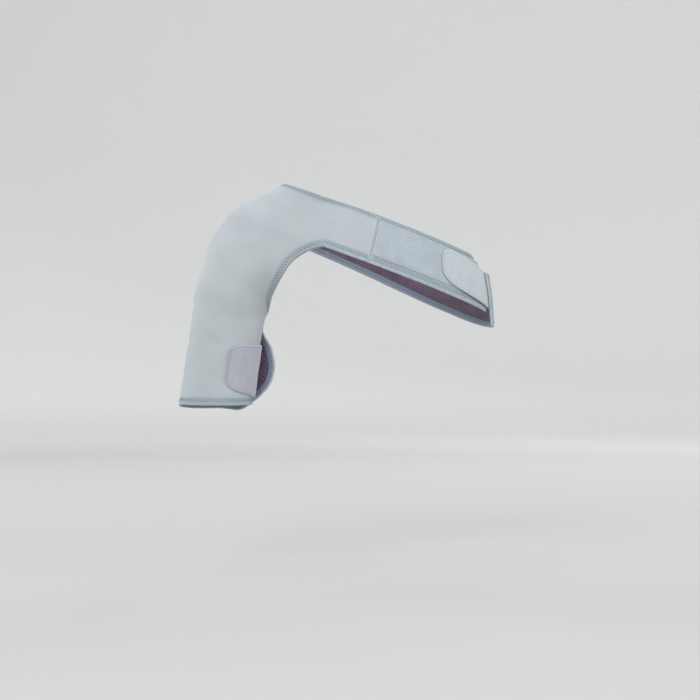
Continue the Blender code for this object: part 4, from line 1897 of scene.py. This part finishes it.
@dataclass
class FrontStrap(StrapPiece):
    """Front strap from the seam to its tapered end under the hook tab."""

    length: float = 0.176
    taper_length: float = 0.032
    taper: float = 0.012

    def shell(self) -> ClothShell:
        """The strap's cloth.

        Returns:
            The cloth, not yet an object.
        """
        lengths = self.length * graded(self.length)
        top = self.taper * ease((lengths - self.length + self.taper_length) / self.taper_length)
        grid = self.grid(lengths, graded(self.loop.width), top, self.loop.width, 0.0)
        seam = self.spot(0.0, self.loop.width / 2)
        return ClothShell("front_strap_cloth", [grid], NEOPRENE, butt_edges=(seam,))

    def build(self, finishes: FinishSet) -> ClothShell:
        """Makes and dresses the strap.

        Args:
            finishes: Finishes of the brace.

        Returns:
            The strap's cloth.
        """
        shell = self.shell()
        sewing = self.zigzag("front_strap", shell, self.length / 2)
        return put_together(
            shell, (finishes.face, finishes.lining), Slot.STRAP, "front_strap",
            sewing, (finishes.thread, finishes.hole))


@dataclass
class LoopPatch(StrapPiece):
    """Plush patch sewn on the front strap."""

    start: float = 0.0025
    length: float = 0.160
    top_margin: float = 0.007
    bottom_margin: float = 0.010
    columns: int = 134
    rows: int = 38
    border: BorderRow = BorderRow(inset=0.0022, pitch=0.0024)

    def build(self, finishes: FinishSet) -> None:
        """Makes and dresses the patch.

        Args:
            finishes: Finishes of the brace.
        """
        lengths = self.start + np.linspace(0.0, self.length, self.columns)
        shares = np.linspace(0.0, 1.0, self.rows)
        bottom = self.loop.width - self.bottom_margin
        grid = self.grid(lengths, shares, self.top_margin, bottom, NEOPRENE + GAP)
        shell = ClothShell("loop_patch_plush", [grid], PLUSH, Edging.NAPPED)
        put_together(
            shell, (finishes.plush, finishes.hooks), Slot.PLUSH, "loop_patch",
            self.border.sewn("loop_patch", shell), (finishes.pale_thread, finishes.hole))


@dataclass
class StrapTab(StrapPiece):
    """Hook tab with a round end on the front strap, slanting down towards the side."""

    start: float = 0.088
    length: float = 0.100
    width: float = 0.041
    middle: float = 0.028
    slant: float = 0.10
    round_length: float = 0.024
    tip_share: float = 0.34
    spacing: TipSpacing = TipSpacing(tip=0.22, power=1.15, start=0.18, count=40)
    border: BorderRow = BorderRow(inset=0.0024, pitch=0.0026)

    @property
    def layer(self) -> float:
        """Height of its inner face above the form."""
        return NEOPRENE + GAP + PLUSH + GAP

    def shell(self) -> ClothShell:
        """The tab's cloth.

        Returns:
            The cloth, not yet an object.
        """
        onward = self.spacing.shares() * self.length
        corner = 1.0 - np.minimum(onward / self.round_length, 1.0)
        bluntness = self.tip_share + (1.0 - self.tip_share) * np.sqrt(1.0 - corner ** 2)
        half = self.width / 2 * bluntness
        middle = self.middle + self.slant * (onward - self.round_length / 2)
        top, bottom = middle - half, middle + half
        grid = self.grid(self.start + onward, graded(self.width), top, bottom, self.layer)
        return ClothShell("strap_tab_cloth", [grid], TAB_SHEET, Edging.FLAT_CUT)

    def build(self, finishes: FinishSet) -> None:
        """Makes and dresses the tab.

        Args:
            finishes: Finishes of the brace.
        """
        shell = self.shell()
        put_together(
            shell, (finishes.tab, finishes.hooks), Slot.TAB, "strap_tab",
            self.border.sewn("strap_tab", shell), (finishes.pale_thread, finishes.hole))


@dataclass
class BackStrap(StrapPiece):
    """Back strap from its lapped front end round the left side to the back seam."""

    tab: StrapTab | None = None
    lap_length: float = 0.014
    lap_margin: float = 0.002
    ease_length: float = 0.050
    droop: float = 0.017
    lap_rows: tuple[float, float] = (0.0030, 0.0100)
    lap_pitch: float = 0.0026
    lap_ends: float = 0.009

    @property
    def start(self) -> float:
        """Length along the loop at which the strap's front end lies."""
        return self.tab.start + self.tab.length - self.lap_length

    @property
    def end(self) -> float:
        """Length along the loop of the back seam."""
        return self.loop.length_at(self.loop.seam_angle)

    def shell(self) -> ClothShell:
        """The strap's cloth.

        Returns:
            The cloth, not yet an object.
        """
        lengths = self.start + (self.end - self.start) * graded(self.end - self.start)
        past_lap = lengths - self.start - self.lap_length - self.lap_margin
        lift = (self.tab.layer + TAB_SHEET + GAP) * (1.0 - ease(past_lap / self.ease_length))
        droop = self.droop * (1.0 - ease((lengths - self.start) / (self.end - self.start)))
        grid = self.grid(lengths, graded(self.loop.width), droop, self.loop.width + droop, lift)
        seam = self.spot(self.end, self.loop.width / 2)
        return ClothShell("back_strap_cloth", [grid], NEOPRENE, butt_edges=(seam,))

    def build(self, finishes: FinishSet) -> ClothShell:
        """Makes and dresses the strap.

        Args:
            finishes: Finishes of the brace.

        Returns:
            The strap's cloth.
        """
        shell = self.shell()
        middle = (self.start + self.end) / 2
        sewing = self.zigzag("back_strap", shell, middle, self.droop / 2)
        lap = shell.run_near(self.spot(self.start, self.loop.width / 2 + self.droop))
        for inset in self.lap_rows:
            line = shell.needle_line(lap, (inset,), self.lap_pitch, Side.OUTER, self.lap_ends)
            sewing.sew(line)
        return put_together(
            shell, (finishes.face, finishes.lining), Slot.STRAP, "back_strap",
            sewing, (finishes.thread, finishes.hole))


@dataclass
class ArmTab:
    """Hook tab round the lower sleeve, from its rounded front end to the flap's inner face."""

    sleeve: ShoulderSleeve
    height: float = 0.058
    above_hem: float = 0.015
    end_angle: float = 97.0
    slant: float = 0.018
    slant_middle: float = 0.31
    slant_end: float = 0.65
    round_length: float = 0.014
    upper_roundness: float = 0.55
    spacing: TipSpacing = TipSpacing(tip=0.20, power=1.1, start=0.17, count=26)
    border: BorderRow = BorderRow(0.0022, 0.0026, 0.00045, Thread(radius=0.00020, arch=0.00018))

    def shell(self) -> ClothShell:
        """The tab's cloth.

        Returns:
            The cloth, not yet an object.
        """
        arm, sleeve = self.sleeve.arm, self.sleeve
        layer = NEOPRENE + GAP
        top = -sleeve.length + self.above_hem + self.height
        rows = (1.0 - graded(self.height))[:, None]
        touch_layer = layer + TAB_SHEET + GAP
        bend = sleeve.flap_bend_radius
        touch = math.degrees(math.acos(bend / (bend + touch_layer)))
        columns = self.spacing.shares()
        arc = columns * math.radians(self.end_angle) * arm.form.upper_arm.end_radius
        left = 1.0 - np.minimum(arc / self.round_length, 1.0)
        inset = self.round_length * (1.0 - np.sqrt(1.0 - left ** 2))
        upper = top - inset * self.upper_roundness
        slanting = np.minimum(columns, self.slant_end) - self.slant_middle
        lower = top - self.height + inset - self.slant * slanting
        heights = upper + (lower - upper) * rows
        end = sleeve.slit_angle - sleeve.flap_opening(heights) + touch
        angles = self.end_angle + (end - self.end_angle) * columns
        points = arm.form.lifted(arm.point(angles, heights), layer) - sleeve.seat
        grid = ClothGrid(points, laid_flat(points))
        return ClothShell("arm_tab_cloth", [grid], TAB_SHEET, Edging.FLAT_CUT)

    def build(self, finishes: FinishSet) -> None:
        """Makes and dresses the tab.

        Args:
            finishes: Finishes of the brace.
        """
        shell = self.shell()
        put_together(
            shell, (finishes.arm_tab, finishes.hooks), Slot.TAB, "arm_tab",
            self.border.sewn("arm_tab", shell), (finishes.pale_thread, finishes.hole))


@dataclass(frozen=True)
class SeamTape:
    """Ladder stitch that joins two butted cloths."""

    inset: float = 0.0016
    pitch: float = 0.0015

    def build(
        self, name: str, first: ClothShell, second: ClothShell, near: Place, finishes: FinishSet
    ) -> None:
        """Sews the runs of two cloths that meet near a place.

        Args:
            name: Name of the stitching.
            first: One cloth.
            second: The other cloth.
            near: Place on the seam.
            finishes: Finishes of the brace.
        """
        rows = []
        for shell in (first, second):
            run = shell.run_near(near)
            rows.append(shell.needle_line(run, (self.inset,), self.pitch, Side.OUTER))
        share = np.linspace(0.0, 1.0, min(len(points) for points, _ in rows))
        lines = []
        for points, away in rows:
            places = np.linspace(0.0, 1.0, len(points))
            lines.append((along(points, places, share), unit(along(away, places, share))))
        here, there = lines[0][0][0], lines[1][0]
        if np.linalg.norm(here - there[0]) > np.linalg.norm(here - there[-1]):
            lines[1] = (lines[1][0][::-1], lines[1][1][::-1])
        points, away = (
            np.stack([lines[0][part], lines[1][part]], 1).reshape(-1, 3) for part in (0, 1))
        sewing = Sewing(name, FINE_THREAD)
        sewing.sew((points, away), holes=False)
        for piece in sewing.build(finishes.pale_thread, finishes.hole):
            place(piece, Slot.STRAP)


@dataclass(frozen=True)
class Lamp:
    """A soft square light."""

    name: str
    place: Place
    size: float
    power: float


@dataclass(frozen=True)
class Studio:
    """Pale round floor with a swept-up edge, soft lights and the camera."""

    floor: float = -0.46
    floor_radius: float = 3.4
    sweep: float = 1.0
    wall: float = 2.6
    floor_colour: Colour = (0.465, 0.468, 0.455)
    far_colour: Colour = (0.650, 0.654, 0.636)
    wall_colour: Colour = (0.715, 0.718, 0.698)
    far_from: float = 2.35
    far_to: float = 3.6
    camera_place: Place = (-0.6377, -2.0765, -0.1860)
    looking: Place = (0.342, 0.940, 0.0)
    lens: float = 90.5
    film_width: float = 36.0
    farthest: float = 50.0
    lamp_aim: Place = (0.10, 0.0, -0.10)
    lamps: tuple[Lamp, ...] = (
        Lamp("key", (-1.9, -2.3, 1.5), 1.6, 62.0),
        Lamp("fill", (2.2, -1.8, 0.9), 1.8, 30.0),
        Lamp("rear_left", (-1.8, 2.2, 1.3), 1.6, 34.0),
        Lamp("rear_right", (2.0, 2.0, 1.5), 1.6, 34.0),
    )
    air_colour: Colour = (0.93, 0.95, 1.0)
    air_strength: float = 0.85
    turns: int = 96
    sweep_steps: int = 12
    rise_share: float = 0.12

    def build_floor(self) -> None:
        """Floor that curves up into a wall all round."""
        profile = [(0.0, 0.0), (self.floor_radius, 0.0)]
        for step in range(1, self.sweep_steps + 1):
            angle = math.radians(90.0 * step / self.sweep_steps)
            radius = self.floor_radius + self.sweep * math.sin(angle)
            profile.append((radius, self.sweep * (1 - math.cos(angle))))
        profile.append((self.floor_radius + self.sweep, self.wall))
        turns = self.turns
        vertices = [(0.0, 0.0, self.floor)]
        for radius, height in profile[1:]:
            for turn in range(turns):
                angle = 2 * math.pi * turn / turns
                x, y = radius * math.cos(angle), radius * math.sin(angle)
                vertices.append((x, y, self.floor + height))
        faces = [(0, 1 + k, 1 + (k + 1) % turns) for k in range(turns)]
        for ring in range(len(profile) - 2):
            low, high = 1 + ring * turns, 1 + (ring + 1) * turns
            for k in range(turns):
                after = (k + 1) % turns
                faces.append((low + k, high + k, high + after, low + after))
        mesh = bpy.data.meshes.new("studio_floor")
        mesh.from_pydata(vertices, [], faces)
        shade_smooth(mesh)
        mesh.materials.append(self.floor_finish())
        linked("studio_floor", mesh)

    def floor_finish(self) -> bpy.types.Material:
        """Pale floor that keeps its brightness far away and up the wall.

        Returns:
            The new material.
        """
        board = Board("pale_floor")
        place_on_floor = board.node("ShaderNodeTexCoord").outputs["Object"]
        height = board.node("ShaderNodeSeparateXYZ", {"Vector": place_on_floor}).outputs["Z"]
        rising = board.span(height, self.floor, self.floor + self.rise_share * self.sweep)
        away = board.node("ShaderNodeVectorMath", {0: place_on_floor}, operation="LENGTH")
        far = board.span(away.outputs["Value"], self.far_from, self.far_to)
        colour = board.mix(far, self.floor_colour, self.far_colour)
        colour = board.mix(rising, colour, self.wall_colour)
        return board.done(colour, roughness=0.9, normal=None, sheen=0.0, specular=0.1)

    def light(self, lamp: Lamp) -> None:
        """Soft square light that faces the brace.

        Args:
            lamp: The light's name, place and power.
        """
        data = bpy.data.lights.new(lamp.name, "AREA")
        data.shape, data.size, data.energy = "SQUARE", lamp.size, lamp.power
        thing = linked(lamp.name, data)
        thing.location = lamp.place
        aim = Vector(self.lamp_aim) - Vector(lamp.place)
        thing.rotation_euler = aim.to_track_quat("-Z", "Y").to_euler()

    def build(self) -> None:
        """Floor, lights, world and camera."""
        self.build_floor()
        for lamp in self.lamps:
            self.light(lamp)
        world = bpy.data.worlds.new("studio_air")
        world.use_nodes = True
        air = world.node_tree.nodes["Background"]
        air.inputs["Color"].default_value = (*self.air_colour, 1.0)
        air.inputs["Strength"].default_value = self.air_strength
        bpy.context.scene.world = world
        data = bpy.data.cameras.new("camera")
        data.lens, data.sensor_width = self.lens, self.film_width
        data.clip_end = self.farthest
        camera = linked("camera", data)
        camera.location = self.camera_place
        camera.rotation_euler = Vector(self.looking).to_track_quat("-Z", "Y").to_euler()
        bpy.context.scene.camera = camera
        bpy.context.scene.view_settings.view_transform = "Standard"


def main() -> None:
    """Builds the brace, piece by piece, and the studio round it."""
    logging.basicConfig(level=logging.INFO, format="%(message)s")
    form = WornForm()
    # The seat is the top of the shoulder, straight above the joint
    seat = form.reach(np.array((0.0, 0.0, -0.050)), np.array((0.0, 0.0, 1.0)))
    loop, arm = ChestLoop(form), ArmSpace(form)
    finishes = FinishSet.make()
    sleeve = ShoulderSleeve(loop, arm, seat)
    sleeve_cloth = sleeve.build(finishes)
    front = FrontStrap(loop, seat)
    front_cloth = front.build(finishes)
    LoopPatch(loop, seat).build(finishes)
    tab = StrapTab(loop, seat)
    tab.build(finishes)
    back = BackStrap(loop, seat, tab)
    back_cloth = back.build(finishes)
    ArmTab(sleeve).build(finishes)
    middle, tape = loop.width / 2, SeamTape()
    tape.build("front_seam", sleeve_cloth, front_cloth, front.spot(0.0, middle), finishes)
    tape.build("back_seam", sleeve_cloth, back_cloth, back.spot(back.end, middle), finishes)
    Studio().build()


if __name__ == "__main__":
    main()
